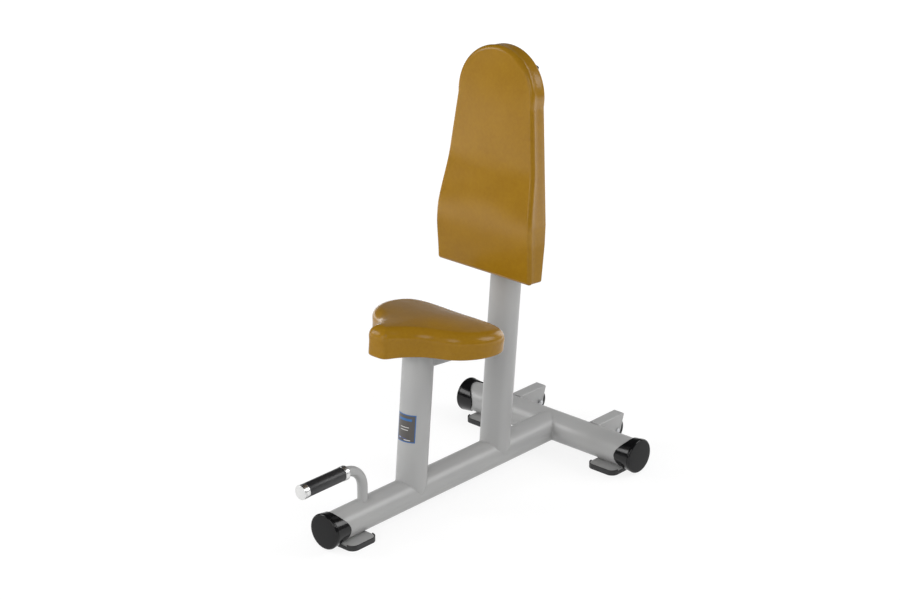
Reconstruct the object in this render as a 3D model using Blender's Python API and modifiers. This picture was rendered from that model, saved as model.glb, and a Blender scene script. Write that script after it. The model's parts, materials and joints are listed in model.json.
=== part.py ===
"""Utility bench: an upright seat with a tall back pad on a frame of round steel tube.

Metres, +Z up. The seated person faces -Y, and the bench is the same left and right of x = 0.
The origin is on the floor, below the middle of the bench's length and width. The frame's own
origin, where most places are measured from, is where the seat post's axis meets the main tube's.
"""

import math

import bmesh
import bpy

# Frame tubes
TUBE_RADIUS = 0.038
TUBE_WALL = 0.003
POST_LEAN = math.radians(5)
BACK_POST_Y = 0.303
CROSS_TUBE_Y = 0.5235
FRONT_REACH = 0.2945
HALF_WIDTH = 0.289
BACK_POST_HEIGHT = 0.9804

# End caps of the frame tubes
CAP_END = 0.005
CAP_WALL = 0.003
CAP_FLARE = 0.0029
CAP_EDGE = 0.0045
CAP_CROWN = 0.0008
CAP_SHORT_SIDE = 0.0268
CAP_LONG_SIDE = 0.052
CAP_SCALLOP_POWER = 2.5

# Feet: a steel plate under the tube, standing in a rubber pad with a lip along two sides
FOOT_LENGTH = 0.082
FOOT_WIDTH = 0.105
FOOT_PLATE = 0.005
FOOT_CORNER = 0.017
FOOT_RUBBER = 0.007
FOOT_RUBBER_WALL = 0.002
FOOT_LIP = 0.0015
FOOT_SETBACK = 0.084

# Lifting handle
HANDLE_Y = 0.164
HANDLE_HEIGHT = 0.127
HANDLE_BEND = 0.055
HANDLE_RADIUS = 0.0125
HANDLE_WALL = 0.002
GRIP_WALL = 0.0042
GRIP_LENGTH = 0.115
COLLAR_STEP = 0.0008
COLLAR_LENGTH = 0.0127
COLLAR_SETBACK = 0.0009
END_CAP_LENGTH = 0.0163
END_CAP_FACE = 0.003
END_CAP_EDGE = 0.001

# Transport wheels and their brackets, behind the cross tube
BRACKET_X = 0.1303
BRACKET_WIDTH = 0.0324
BRACKET_SHEET = 0.003
BRACKET_BEND = 0.004
BRACKET_REACH = 0.1138
BRACKET_CORNER = 0.003
BRACKET_NOSE = 0.0115
BRACKET_SKIRT = 0.017
AXLE_REACH = 0.0895
AXLE_DROP = 0.003
AXLE_RADIUS = 0.004
AXLE_HEAD_RADIUS = 0.0065
AXLE_HEAD = 0.004
WHEEL_RADIUS = 0.0315
WHEEL_EDGE = 0.003
HUB_RADIUS = 0.021
HUB_STEP = 0.0008
BUSH_WALL = 0.0018
WASHER_RADIUS = 0.0085
WASHER_THICKNESS = 0.0013

# Seat cushion, its board and what carries it, along the leaning seat post
SEAT_BASE = 0.3728
SEAT_THICKNESS = 0.065
SEAT_PITCH = 0.076
SEAT_EDGE = 0.027
SEAT_BOARD = 0.015
SEAT_PLATE = 0.005
SEAT_PLATE_HALF_WIDTH = 0.06
SEAT_PLATE_FRONT = 0.05
SEAT_PLATE_BACK = 0.11
SEAT_PLATE_CORNER = 0.008
CARRIER_SIDE = 0.05
CARRIER_WALL = 0.003
CARRIER_REACH = 0.104
PLUG_FLANGE = 0.003
PLUG_DEPTH = 0.018
SEAT_BOLT_X = 0.045
SEAT_BOLT_FRONT = 0.033
SEAT_BOLT_BACK = 0.093

# Half of the cage that draws the seat from above: nose, hollow flank, wing and tail
SEAT_CAGE = (
    (0, -0.152), (0.032, -0.1525), (0.0365, -0.111), (0.077, -0.0515), (0.131, -0.037),
    (0.176, 0.034), (0.1715, 0.1345), (0.098, 0.1585), (0, 0.1465),
)

# Back cushion, its board and its mounting plates, along the leaning back post
BACK_BOTTOM = 0.485
BACK_TOP = 1.038
BACK_LOW_HALF_WIDTH = 0.1478
BACK_HIP_HALF_WIDTH = 0.15
BACK_HIP_HEIGHT = 0.581
BACK_TAPER_START = 0.631
BACK_TAPER_HALF_WIDTH = 0.1484
BACK_HEAD_RADIUS = 0.1176
BACK_LOW_CORNER = 0.008
LEAST_CORNER = 0.0005
BACK_THICKNESS = 0.0508
BACK_EDGE = 0.0105
LUMBAR_HEIGHT = 0.619
LUMBAR_RISE = 0.0142
LUMBAR_SPAN = 0.152
BACK_BOARD = 0.012
BACK_PLATE = 0.003
BACK_PLATE_HALF_WIDTH = 0.09
BACK_PLATE_HALF_HEIGHT = 0.025
BACK_PLATE_CORNER = 0.006
BACK_PLATE_HEIGHTS = (0.566, 0.831)
BACK_BOLT_X = 0.068

# Both cushions
BOARD_INSET = 0.010
CUSHION_CROWN = 0.002
CUSHION_DRAW_IN = 0.0012
CUSHION_BACK_EDGE = 0.004

# Upholstery fasteners
BOLT_RADIUS = 0.004
BOLT_HEAD_RADIUS = 0.0075
BOLT_HEAD = 0.0053
BOLT_FLANGE_RADIUS = 0.0085
BOLT_FLANGE = 0.0012
BOLT_CHAMFER = 0.0008
BOLT_END_CLEARANCE = 0.001
NUT_HEIGHT = 0.0065
INSERT_WALL = 0.0025

# Label on the front of the seat post
LABEL_WIDTH = 0.054
LABEL_HEIGHT = 0.070
LABEL_THICKNESS = 0.0005
LABEL_MIDDLE = 0.172
LABEL_TURN = math.radians(7.5)

# Fits, and how finely round shapes are drawn
GAP = 0.0003
MERGE = 0.00001
TUBE_SIDES = 32
ROD_SIDES = 20
SMALL_SIDES = 12
SHARP = math.radians(35)

# Levels that follow from the sizes above
FOOT_TOP = TUBE_RADIUS + GAP
FLOOR = FOOT_TOP + FOOT_PLATE + GAP + FOOT_RUBBER
SEAT_PLATE_TOP = SEAT_BASE - GAP
SEAT_POST_TOP = SEAT_PLATE_TOP - SEAT_PLATE - GAP
CAP_RIM = TUBE_RADIUS + GAP + CAP_WALL + CAP_FLARE
BACK_PLATE_FACE = TUBE_RADIUS + GAP + BACK_PLATE
BACK_PLANE = BACK_PLATE_FACE + GAP
GRIP_END = COLLAR_SETBACK + COLLAR_LENGTH + GAP + GRIP_LENGTH
HANDLE_REACH = HANDLE_Y + HANDLE_BEND + GRIP_END + GAP + END_CAP_LENGTH
FRONT_END = max(HANDLE_REACH, FRONT_REACH)
REAR_END = CROSS_TUBE_Y + max(BRACKET_REACH, AXLE_REACH + WHEEL_RADIUS)
GRIP_RADIUS = HANDLE_RADIUS + GAP + GRIP_WALL
COLLAR_RADIUS = GRIP_RADIUS + COLLAR_STEP

# Directions, as turns of a piece that is built along +Z
QUARTER = math.pi / 2
TO_FRONT = (QUARTER, 0, 0)
TO_REAR = (-QUARTER, 0, 0)
TO_RIGHT = (QUARTER, 0, QUARTER)
TO_LEFT = (QUARTER, 0, -QUARTER)


# Scene, materials and placing

def clear_scene():
    for obj in list(bpy.data.objects):
        bpy.data.objects.remove(obj)


def new_collection(name):
    collection = bpy.data.collections.new(name)
    bpy.context.scene.collection.children.link(collection)
    return collection


def material(name, colour, roughness, metallic=0.0):
    made = bpy.data.materials.new(name)
    made.use_nodes = True
    shader = made.node_tree.nodes["Principled BSDF"]
    shader.inputs["Base Color"].default_value = (*colour, 1.0)
    shader.inputs["Roughness"].default_value = roughness
    shader.inputs["Metallic"].default_value = metallic
    made.diffuse_color = (*colour, 1.0)
    return made


def add_object(name, data):
    obj = bpy.data.objects.new(name, data)
    PARTS.objects.link(obj)
    return obj


def place(obj, parent, location=(0, 0, 0), rotation=(0, 0, 0), finish=None):
    obj.parent = parent
    obj.location = location
    obj.rotation_euler = rotation
    if finish:
        obj.data.materials.clear()
        obj.data.materials.append(finish)
    return obj


def axis_empty(name, parent, location=(0, 0, 0), rotation=(0, 0, 0)):
    return place(add_object(name, None), parent, location, rotation)


def copy_of(obj, name):
    """Another piece with the same mesh and finish."""
    twin = obj.copy()
    twin.name = name
    PARTS.objects.link(twin)
    return twin


# Outlines, as lists of (x, y) that run anticlockwise

def arc(centre, radius, start, end, steps):
    """Points along an arc, from one angle to another, both included."""
    turns = [start + (end - start) * i / steps for i in range(steps + 1)]
    return [(centre[0] + radius * math.cos(a), centre[1] + radius * math.sin(a)) for a in turns]


def circle(centre, radius):
    return arc(centre, radius, 0, 2 * math.pi, SMALL_SIDES)[:-1]


def rounded_box(half_x, half_y, radius, centre=(0, 0), steps=4):
    points = []
    for i, (side_x, side_y) in enumerate(((1, -1), (1, 1), (-1, 1), (-1, -1))):
        corner = (centre[0] + side_x * (half_x - radius), centre[1] + side_y * (half_y - radius))
        start = (i - 1) * QUARTER
        points += arc(corner, radius, start, start + QUARTER, steps)
    return points


def inset(outline, distance):
    """The outline drawn in along its own normals; a negative distance lets it out."""
    moved = []
    for i, (x, y) in enumerate(outline):
        before, after = outline[i - 1], outline[(i + 1) % len(outline)]
        run, rise = after[0] - before[0], after[1] - before[1]
        length = math.hypot(run, rise)
        moved.append((x - distance * rise / length, y + distance * run / length))
    return moved


def corners(outline):
    """The outline without the points that lie along a straight run of it."""
    kept = []
    for i, (x, y) in enumerate(outline):
        before, after = outline[i - 1], outline[(i + 1) % len(outline)]
        turn = (x - before[0]) * (after[1] - y) - (y - before[1]) * (after[0] - x)
        if abs(turn) > MERGE**2:
            kept.append((x, y))
    return kept


def mirrored(half):
    """A whole outline from its right half, which starts and ends on x = 0."""
    return [*half, *((-x, y) for x, y in reversed(half[1:-1]))]


def blend(start, end, share):
    return tuple(a + (b - a) * share for a, b in zip(start, end))


def spline(cage, steps):
    """A closed smooth outline drawn by a cage of points, as a uniform cubic spline."""
    outline = []
    for i in range(len(cage)):
        corners = [cage[(i + k) % len(cage)] for k in (-1, 0, 1, 2)]
        for step in range(steps):
            t = step / steps
            shares = ((1 - t) ** 3, 3 * t**3 - 6 * t**2 + 4, 1 + 3 * t + 3 * t**2 - 3 * t**3, t**3)
            x = sum(share * corner[0] for share, corner in zip(shares, corners)) / sum(shares)
            y = sum(share * corner[1] for share, corner in zip(shares, corners)) / sum(shares)
            outline.append((x, y))
    return outline


# Profiles of turned pieces, as lists of (radius, height) that run down the outer side

def rod_profile(radius, low, high):
    return [(0, high), (radius, high), (radius, low), (0, low)]


def ring_profile(outer, inner, low, high, chamfer=0.0):
    """A ring, whose two outer edges may be chamfered."""
    if not chamfer:
        return [(outer, high), (outer, low), (inner, low), (inner, high)]
    return [
        (outer - chamfer, high), (outer, high - chamfer), (outer, low + chamfer),
        (outer - chamfer, low), (inner, low), (inner, high),
    ]


def hexagon_profile(low, high):
    """A bolt's head or a nut, with both its ends chamfered."""
    narrow = BOLT_HEAD_RADIUS - BOLT_CHAMFER
    return [
        (0, high), (narrow, high), (BOLT_HEAD_RADIUS, high - BOLT_CHAMFER),
        (BOLT_HEAD_RADIUS, low + BOLT_CHAMFER), (narrow, low), (0, low),
    ]


# Solids

def as_mesh(obj):
    """The object as a plain welded mesh, with its modifiers or its curve used up."""
    graph = bpy.context.evaluated_depsgraph_get()
    mesh = bpy.data.meshes.new_from_object(obj.evaluated_get(graph))
    shape = bmesh.new()
    shape.from_mesh(mesh)
    bmesh.ops.remove_doubles(shape, verts=shape.verts, dist=MERGE)
    bmesh.ops.recalc_face_normals(shape, faces=shape.faces)
    shape.to_mesh(mesh)
    shape.free()
    mesh.shade_smooth()
    mesh.set_sharp_from_angle(angle=SHARP)
    name = obj.name
    bpy.data.objects.remove(obj)
    return add_object(name, mesh)


def turned(name, profile, sides=TUBE_SIDES):
    """A profile turned about Z. One that starts off the axis makes a ring."""
    mesh = bpy.data.meshes.new(name)
    edges = [(i, i + 1) for i in range(len(profile) - 1)]
    if profile[0][0] > 0:
        edges.append((len(profile) - 1, 0))
    mesh.from_pydata([(radius, 0, height) for radius, height in profile], edges, [])
    obj = add_object(name, mesh)
    screw = obj.modifiers.new("turn", "SCREW")
    screw.steps = sides
    screw.render_steps = sides
    screw.use_merge_vertices = True
    screw.merge_threshold = MERGE
    return as_mesh(obj)


def sheet(name, outlines, thickness):
    """A flat piece from its outline and its holes, rising from z = 0."""
    curve = bpy.data.curves.new(name, "CURVE")
    curve.dimensions = "2D"
    curve.fill_mode = "BOTH"
    curve.extrude = thickness / 2
    for outline in map(corners, outlines):
        line = curve.splines.new("POLY")
        line.points.add(len(outline) - 1)
        for point, (x, y) in zip(line.points, outline):
            point.co = (x, y, 0, 1)
        line.use_cyclic_u = True
    made = as_mesh(add_object(name, curve))
    for vertex in made.data.vertices:
        vertex.co.z += thickness / 2
    return made


def bent_rod(name, path, radius):
    """A round rod along a path of points."""
    curve = bpy.data.curves.new(name, "CURVE")
    curve.dimensions = "3D"
    curve.bevel_depth = radius
    curve.bevel_resolution = (ROD_SIDES - 4) // 2
    curve.use_fill_caps = True
    line = curve.splines.new("POLY")
    line.points.add(len(path) - 1)
    for point, spot in zip(line.points, path):
        point.co = (*spot, 1)
    return as_mesh(add_object(name, curve))


def lofted(name, rings):
    """A closed solid through rings of equally many points, with a fan over each end."""
    shape = bmesh.new()
    rows = [[shape.verts.new(point) for point in ring] for ring in rings]
    for row, following in zip(rows, rows[1:]):
        for i in range(len(row)):
            shape.faces.new((row[i - 1], row[i], following[i], following[i - 1]))
    for row in (rows[0], rows[-1]):
        middle = shape.verts.new([sum(vert.co[k] for vert in row) / len(row) for k in range(3)])
        for i in range(len(row)):
            shape.faces.new((row[i - 1], row[i], middle))
    mesh = bpy.data.meshes.new(name)
    shape.to_mesh(mesh)
    shape.free()
    return as_mesh(add_object(name, mesh))


def box(name, size):
    """A box about the origin."""
    shape = bmesh.new()
    bmesh.ops.create_cube(shape, size=1)
    bmesh.ops.scale(shape, vec=size, verts=shape.verts)
    mesh = bpy.data.meshes.new(name)
    shape.to_mesh(mesh)
    shape.free()
    return add_object(name, mesh)


# Cuts and joins

def as_cutter(obj):
    """Moves a shape among the cutters, which change other pieces and aren't pieces themselves."""
    PARTS.objects.unlink(obj)
    CUTTERS.objects.link(obj)
    obj.hide_render = True
    obj.display_type = "WIRE"
    return obj


def rod_cutter(name, radius, low, high):
    return as_cutter(turned(name, rod_profile(radius, low, high)))


def cut(obj, *cutters, operation="DIFFERENCE"):
    for cutter in cutters:
        boolean = obj.modifiers.new(cutter.name, "BOOLEAN")
        boolean.object = cutter
        boolean.operation = operation
        boolean.solver = "EXACT"
    return obj


def joined(name, first, second):
    """One solid made of two that overlap."""
    cut(first, second, operation="UNION")
    made = as_mesh(first)
    bpy.data.objects.remove(second)
    made.name = name
    return made


# Frame

def frame_tubes(around_main, around_cross):
    """The four round tubes, each coped to the one that it is welded to."""
    outer, bore = TUBE_RADIUS, TUBE_RADIUS - TUBE_WALL
    end = CAP_END + GAP

    main = turned("main_tube", ring_profile(outer, bore, end - FRONT_REACH, CROSS_TUBE_Y))
    cut(place(main, FRAME, rotation=TO_REAR, finish=PAINT), around_cross)
    cross = turned("cross_tube", ring_profile(outer, bore, end - HALF_WIDTH, HALF_WIDTH - end))
    place(cross, FRAME, (0, CROSS_TUBE_Y, 0), TO_RIGHT, PAINT)
    seat_post = turned("seat_post", ring_profile(outer, bore, 0, SEAT_POST_TOP))
    cut(place(seat_post, SEAT_AXIS, finish=PAINT), around_main)
    back_post = turned("back_post", ring_profile(outer, bore, 0, BACK_POST_HEIGHT - end))
    cut(place(back_post, BACK_AXIS, finish=PAINT), around_main)


def cap_shape(name):
    """A cup over a tube's end, widest at its rounded rim, with a mouth that is longer at its sides."""
    bore = TUBE_RADIUS + GAP
    edge = arc((CAP_RIM - CAP_EDGE, -CAP_CROWN - CAP_EDGE), CAP_EDGE, QUARTER, 0, 5)
    profile = [
        (0, 0), (CAP_RIM / 2, -CAP_CROWN / 4), *edge, (bore + CAP_WALL, -CAP_LONG_SIDE),
        (bore, -CAP_LONG_SIDE), (bore, -CAP_END), (0, -CAP_END),
    ]
    cap = turned(name, profile)
    for vertex in cap.data.vertices:
        if vertex.co.z < MERGE - CAP_LONG_SIDE:
            sideways = abs(vertex.co.x) / math.hypot(vertex.co.x, vertex.co.y)
            spare = CAP_LONG_SIDE - CAP_SHORT_SIDE
            vertex.co.z = -CAP_SHORT_SIDE - spare * sideways**CAP_SCALLOP_POWER
    return cap


def end_caps():
    front = cap_shape("front_end_cap")
    place(front, FRAME, (0, -FRONT_REACH, 0), TO_FRONT, CAP_PLASTIC)
    place(copy_of(front, "right_end_cap"), FRAME, (HALF_WIDTH, CROSS_TUBE_Y, 0), TO_RIGHT)
    place(copy_of(front, "left_end_cap"), FRAME, (-HALF_WIDTH, CROSS_TUBE_Y, 0), TO_LEFT)
    place(copy_of(front, "back_post_cap"), BACK_AXIS, (0, 0, BACK_POST_HEIGHT))


def foot(name, location, turn):
    """A foot plate and the rubber pad that it stands in, its length along local X."""
    middle = axis_empty(name + "_middle", FRAME, location, (0, 0, turn))
    outline = rounded_box(FOOT_LENGTH / 2, FOOT_WIDTH / 2, FOOT_CORNER)
    plate = sheet(name + "_plate", [outline], FOOT_PLATE)
    place(plate, middle, (0, 0, -FOOT_TOP - FOOT_PLATE), finish=PAINT)

    height = FOOT_RUBBER + GAP + FOOT_PLATE + FOOT_LIP
    pad = sheet(name + "_pad", [inset(outline, -FOOT_RUBBER_WALL - GAP)], height)
    place(pad, middle, (0, 0, -FLOOR), finish=RUBBER)
    pocket = as_cutter(sheet(name + "_pocket", [inset(outline, -GAP)], height))
    place(pocket, middle, (0, 0, FOOT_RUBBER - FLOOR))
    opening = (2 * FOOT_LENGTH, FOOT_WIDTH - 2 * FOOT_CORNER, FOOT_PLATE + 2 * FOOT_LIP)
    notch = as_cutter(box(name + "_notch", opening))
    place(notch, middle, (0, 0, -FOOT_TOP))
    cut(pad, pocket, notch)


def feet():
    foot("front_foot", (0, FOOT_SETBACK - FRONT_REACH, 0), QUARTER)
    foot("right_foot", (HALF_WIDTH - FOOT_SETBACK, CROSS_TUBE_Y, 0), 0)
    foot("left_foot", (FOOT_SETBACK - HALF_WIDTH, CROSS_TUBE_Y, 0), 0)


# Handle

def handle_path(beyond):
    """Up from inside the main tube's wall, round the bend and forward, longer by beyond."""
    bend_centre = (-HANDLE_Y - HANDLE_BEND, HANDLE_HEIGHT - HANDLE_BEND)
    front = END_CAP_FACE + GAP - HANDLE_REACH
    bend = arc(bend_centre, HANDLE_BEND, 0, QUARTER, 9)
    route = [(-HANDLE_Y, TUBE_RADIUS / 2 - beyond), *bend, (front - beyond, HANDLE_HEIGHT)]
    return [(0, y, z) for y, z in route]


def handle(around_main):
    """A bent tube welded on the main tube, with a rubber grip between two bright metal ends."""
    tube = bent_rod("handle_tube", handle_path(0), HANDLE_RADIUS)
    bore = bent_rod("handle_bore", handle_path(HANDLE_WALL), HANDLE_RADIUS - HANDLE_WALL)
    cut(place(tube, FRAME, finish=PAINT), place(as_cutter(bore), FRAME), around_main)

    inner = HANDLE_RADIUS + GAP
    cap_back = -END_CAP_LENGTH
    cap_profile = [
        (0, 0), (COLLAR_RADIUS - END_CAP_EDGE, 0), (COLLAR_RADIUS, -END_CAP_EDGE),
        (COLLAR_RADIUS, cap_back + END_CAP_EDGE), (COLLAR_RADIUS - END_CAP_EDGE, cap_back),
        (inner, cap_back), (inner, -END_CAP_FACE), (0, -END_CAP_FACE),
    ]
    grip_front = cap_back - GAP
    grip_back = grip_front - GRIP_LENGTH
    grip_profile = ring_profile(GRIP_RADIUS, inner, grip_back, grip_front, END_CAP_EDGE)
    collar_front = grip_back - GAP
    collar_back = collar_front - COLLAR_LENGTH
    collar_profile = ring_profile(COLLAR_RADIUS, inner, collar_back, collar_front, END_CAP_EDGE)
    front = (0, -HANDLE_REACH, HANDLE_HEIGHT)
    place(turned("handle_end_cap", cap_profile), FRAME, front, TO_FRONT, BRIGHT_METAL)
    place(turned("handle_grip", grip_profile), FRAME, front, TO_FRONT, RUBBER)
    place(turned("grip_collar", collar_profile), FRAME, front, TO_FRONT, BRIGHT_METAL)


# Wheels

def bracket_side():
    """A bracket seen from its side: x to the rear from the cross tube's axis, and y up."""
    nose = (AXLE_REACH, -AXLE_DROP)
    rear = (BRACKET_REACH - BRACKET_CORNER, TUBE_RADIUS - BRACKET_CORNER)
    slope = math.atan2(rear[0] - nose[0], rear[1] - nose[1])
    lean = slope - math.asin((BRACKET_NOSE - BRACKET_CORNER) / math.dist(rear, nose))
    weld = math.sqrt((TUBE_RADIUS + GAP) ** 2 - (TUBE_RADIUS - BRACKET_SHEET) ** 2)
    return [
        (weld, TUBE_RADIUS), (weld, -BRACKET_SKIRT),
        *arc(nose, BRACKET_NOSE, -QUARTER, -lean, 8),
        *arc(rear, BRACKET_CORNER, -lean, QUARTER, 4),
    ]


def bracket_section():
    """A bracket seen from behind: a top and two sides, open below."""
    half = BRACKET_WIDTH / 2
    inner = half - BRACKET_SHEET
    low = -AXLE_DROP - 2 * BRACKET_NOSE
    fold = arc((half - BRACKET_BEND, TUBE_RADIUS - BRACKET_BEND), BRACKET_BEND, 0, QUARTER, 4)
    right = [(inner, TUBE_RADIUS - BRACKET_SHEET), (inner, low), (half, low), *fold]
    return [*right, *((-x, y) for x, y in reversed(right))]


def wheel_bracket(name, x, around_cross):
    """A folded channel that carries a wheel behind the cross tube."""
    middle = axis_empty(name + "_middle", FRAME, (x, CROSS_TUBE_Y, 0))
    length = 2 * BRACKET_REACH
    channel = sheet(name, [bracket_section()], length)
    place(channel, middle, (0, length, 0), TO_FRONT, PAINT)
    side = as_cutter(sheet(name + "_side", [bracket_side()], 2 * BRACKET_WIDTH))
    place(side, middle, (-BRACKET_WIDTH, 0, 0), TO_RIGHT)
    hole = rod_cutter(name + "_hole", AXLE_RADIUS + GAP, -BRACKET_WIDTH, BRACKET_WIDTH)
    place(hole, middle, (0, AXLE_REACH, -AXLE_DROP), TO_RIGHT)
    cut(channel, side, operation="INTERSECT")
    cut(channel, around_cross, hole)


def axle_bolt(side, axle):
    """A bolt with a domed head outside, and the nut on its inner end."""
    head_low = BRACKET_WIDTH / 2 + GAP
    nut_high = -head_low
    nut_low = nut_high - NUT_HEIGHT
    tip = nut_low - BOLT_CHAMFER
    turns = [QUARTER * i / 4 for i in range(5)]
    profile = [(AXLE_HEAD_RADIUS * math.sin(a), head_low + AXLE_HEAD * math.cos(a)) for a in turns]
    profile += [(AXLE_RADIUS, head_low), (AXLE_RADIUS, tip), (0, tip)]
    place(turned(side + "_axle_bolt", profile, ROD_SIDES), axle, finish=ZINC)
    bore = place(rod_cutter(side + "_nut_bore", AXLE_RADIUS + GAP, 2 * nut_low, 0), axle)
    nut = turned(side + "_axle_nut", hexagon_profile(nut_low, nut_high), 6)
    cut(place(nut, axle, finish=ZINC), bore)


def wheel(side, x, outwards):
    """A tyre on a hub, which turns on a bush between two washers."""
    axle = axis_empty(side + "_axle", FRAME, (x, CROSS_TUBE_Y + AXLE_REACH, -AXLE_DROP), outwards)
    bush_radius = AXLE_RADIUS + GAP + BUSH_WALL
    hub_bore = bush_radius + GAP
    inside = BRACKET_WIDTH / 2 - BRACKET_SHEET - GAP
    washer_low = inside - WASHER_THICKNESS
    hub_half = washer_low - GAP
    tyre_half = hub_half - HUB_STEP

    tyre = ring_profile(WHEEL_RADIUS, HUB_RADIUS + GAP, -tyre_half, tyre_half, WHEEL_EDGE)
    place(turned(side + "_tyre", tyre), axle, finish=RUBBER)
    hub = ring_profile(HUB_RADIUS, hub_bore, -hub_half, hub_half)
    place(turned(side + "_wheel_hub", hub), axle, finish=NYLON)
    bush = ring_profile(bush_radius, AXLE_RADIUS + GAP, -inside, inside)
    place(turned(side + "_bush", bush, SMALL_SIDES), axle, finish=ZINC)
    outer = ring_profile(WASHER_RADIUS, hub_bore, washer_low, inside)
    place(turned(side + "_outer_washer", outer, SMALL_SIDES), axle, finish=NYLON)
    inner = ring_profile(WASHER_RADIUS, hub_bore, -inside, -washer_low)
    place(turned(side + "_inner_washer", inner, SMALL_SIDES), axle, finish=NYLON)
    axle_bolt(side, axle)


def wheels(around_cross):
    for side, x, outwards in (("right", BRACKET_X, TO_RIGHT), ("left", -BRACKET_X, TO_LEFT)):
        wheel_bracket(side + "_wheel_bracket", x, around_cross)
        wheel(side, x, outwards)


# Upholstery, built flat with its face towards +Z

def cushion(name, outline, thickness, face, edge, board, centre):
    """A pad with a pocket for its board behind.

    outline gives its shape drawn in by a distance, and face the front's rise at a point.
    """
    def level(points, height):
        return [(x, y, height) for x, y in points]

    def on_face(points, drop):
        return [(x, y, thickness + face(x, y) - drop) for x, y in points]

    mouth = outline(BOARD_INSET - GAP)
    side = outline(CUSHION_DRAW_IN)
    back = outline(CUSHION_DRAW_IN + CUSHION_BACK_EDGE)
    rings = [level(mouth, board + GAP), level(mouth, 0), level(back, 0), level(side, CUSHION_BACK_EDGE)]
    rings.append(on_face(side, 2 * edge))
    for turn in (0, QUARTER / 3, QUARTER * 2 / 3, QUARTER):
        rounded = outline(edge * (1 - math.cos(turn)))
        rings.append(on_face(rounded, edge * (1 - math.sin(turn))))
    flat = outline(edge)
    for share in (0.75, 0.5, 0.25):
        smaller = [blend(centre, point, share) for point in flat]
        rings.append(on_face(smaller, -CUSHION_CROWN * (1 - share**2)))
    return lofted(name, rings)


def cushion_bolt(name, length):
    """A flanged hexagon bolt: its shank rises from z = 0 and its head hangs below."""
    shank = turned("shank", [
        (0, length), (BOLT_RADIUS, length), (BOLT_RADIUS, 0), (BOLT_FLANGE_RADIUS, 0),
        (BOLT_FLANGE_RADIUS, -BOLT_FLANGE), (0, -BOLT_FLANGE),
    ], SMALL_SIDES)
    head = turned("head", hexagon_profile(-BOLT_HEAD, -BOLT_FLANGE / 2), 6)
    return joined(name, shank, head)


def bolted_board(name, outline, thickness, spots, plate_thickness, parent, location, rotation):
    """A cushion's board, with a threaded insert and a bolt at each spot."""
    base = axis_empty(name + "_board_base", parent, location, rotation)
    insert_radius = BOLT_RADIUS + GAP + INSERT_WALL
    holes = [circle(spot, insert_radius + GAP) for spot in spots]
    board = place(sheet(name + "_board", [outline, *holes], thickness), base, finish=PLYWOOD)
    grip = plate_thickness + 2 * GAP
    bolt = cushion_bolt(name + "_bolt_1", grip + thickness - BOLT_END_CLEARANCE)
    insert_profile = ring_profile(insert_radius, BOLT_RADIUS + GAP, 0, thickness)
    insert = turned(name + "_insert_1", insert_profile, SMALL_SIDES)
    for i, (x, y) in enumerate(spots, 1):
        bolt_here = bolt if i == 1 else copy_of(bolt, f"{name}_bolt_{i}")
        insert_here = insert if i == 1 else copy_of(insert, f"{name}_insert_{i}")
        place(bolt_here, base, (x, y, -grip), finish=ZINC)
        place(insert_here, base, (x, y, 0), finish=ZINC)
    return board


def mount_plate(name, outline, thickness, spots, parent, location, rotation=(0, 0, 0)):
    """A steel plate welded to the frame, with a clearance hole for each bolt."""
    holes = [circle(spot, BOLT_RADIUS + GAP) for spot in spots]
    place(sheet(name, [outline, *holes], thickness), parent, location, rotation, PAINT)


def seat_face(x, y):
    """The seat's top falls to the rear."""
    return -SEAT_PITCH * y


def seat_outline(shrink):
    """From above: a narrow nose, hollow flanks and a wide tail; x right and y to the rear."""
    return inset(spline(mirrored(SEAT_CAGE), 4), shrink)


def seat():
    base = (0, 0, SEAT_BASE)
    middle = (0, (SEAT_CAGE[0][1] + SEAT_CAGE[-1][1]) / 2 + SEAT_EDGE)
    pad = cushion(
        "seat_cushion", seat_outline, SEAT_THICKNESS, seat_face, SEAT_EDGE, SEAT_BOARD, middle
    )
    place(pad, SEAT_AXIS, base, finish=VINYL)
    spots = [(x, y) for y in (-SEAT_BOLT_FRONT, SEAT_BOLT_BACK) for x in (-SEAT_BOLT_X, SEAT_BOLT_X)]
    board = seat_outline(BOARD_INSET)
    bolted_board("seat", board, SEAT_BOARD, spots, SEAT_PLATE, SEAT_AXIS, base, (0, 0, 0))

    half_length = (SEAT_PLATE_FRONT + SEAT_PLATE_BACK) / 2
    plate_middle = (0, SEAT_PLATE_BACK - half_length)
    plate = rounded_box(SEAT_PLATE_HALF_WIDTH, half_length, SEAT_PLATE_CORNER, plate_middle)
    plate_low = (0, 0, SEAT_PLATE_TOP - SEAT_PLATE)
    mount_plate("seat_mount_plate", plate, SEAT_PLATE, spots, SEAT_AXIS, plate_low)


def seat_carrier():
    """A short square tube behind the seat post, under the rear of the seat's plate."""
    half = CARRIER_SIDE / 2
    height = SEAT_POST_TOP - half
    outer = rounded_box(half, half, 1.5 * CARRIER_WALL, steps=3)
    inner = rounded_box(half - CARRIER_WALL, half - CARRIER_WALL, CARRIER_WALL / 2, steps=3)
    tube = sheet("seat_carrier", [outer, inner], CARRIER_REACH)
    place(tube, SEAT_AXIS, (0, 0, height), TO_REAR, PAINT)
    cut(tube, place(rod_cutter("seat_post_cope", TUBE_RADIUS + GAP, 0, SEAT_BASE), SEAT_AXIS))

    plug_front = CARRIER_REACH + GAP
    flange = sheet("carrier_plug", [outer], PLUG_FLANGE)
    place(flange, SEAT_AXIS, (0, plug_front, height), TO_REAR, CAP_PLASTIC)
    stem_half = half - CARRIER_WALL - GAP
    stem_outline = rounded_box(stem_half, stem_half, CARRIER_WALL / 2, steps=3)
    stem = as_cutter(sheet("plug_stem", [stem_outline], PLUG_DEPTH + PLUG_FLANGE / 2))
    place(stem, SEAT_AXIS, (0, plug_front - PLUG_DEPTH, height), TO_REAR)
    cut(flange, stem, operation="UNION")


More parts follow.
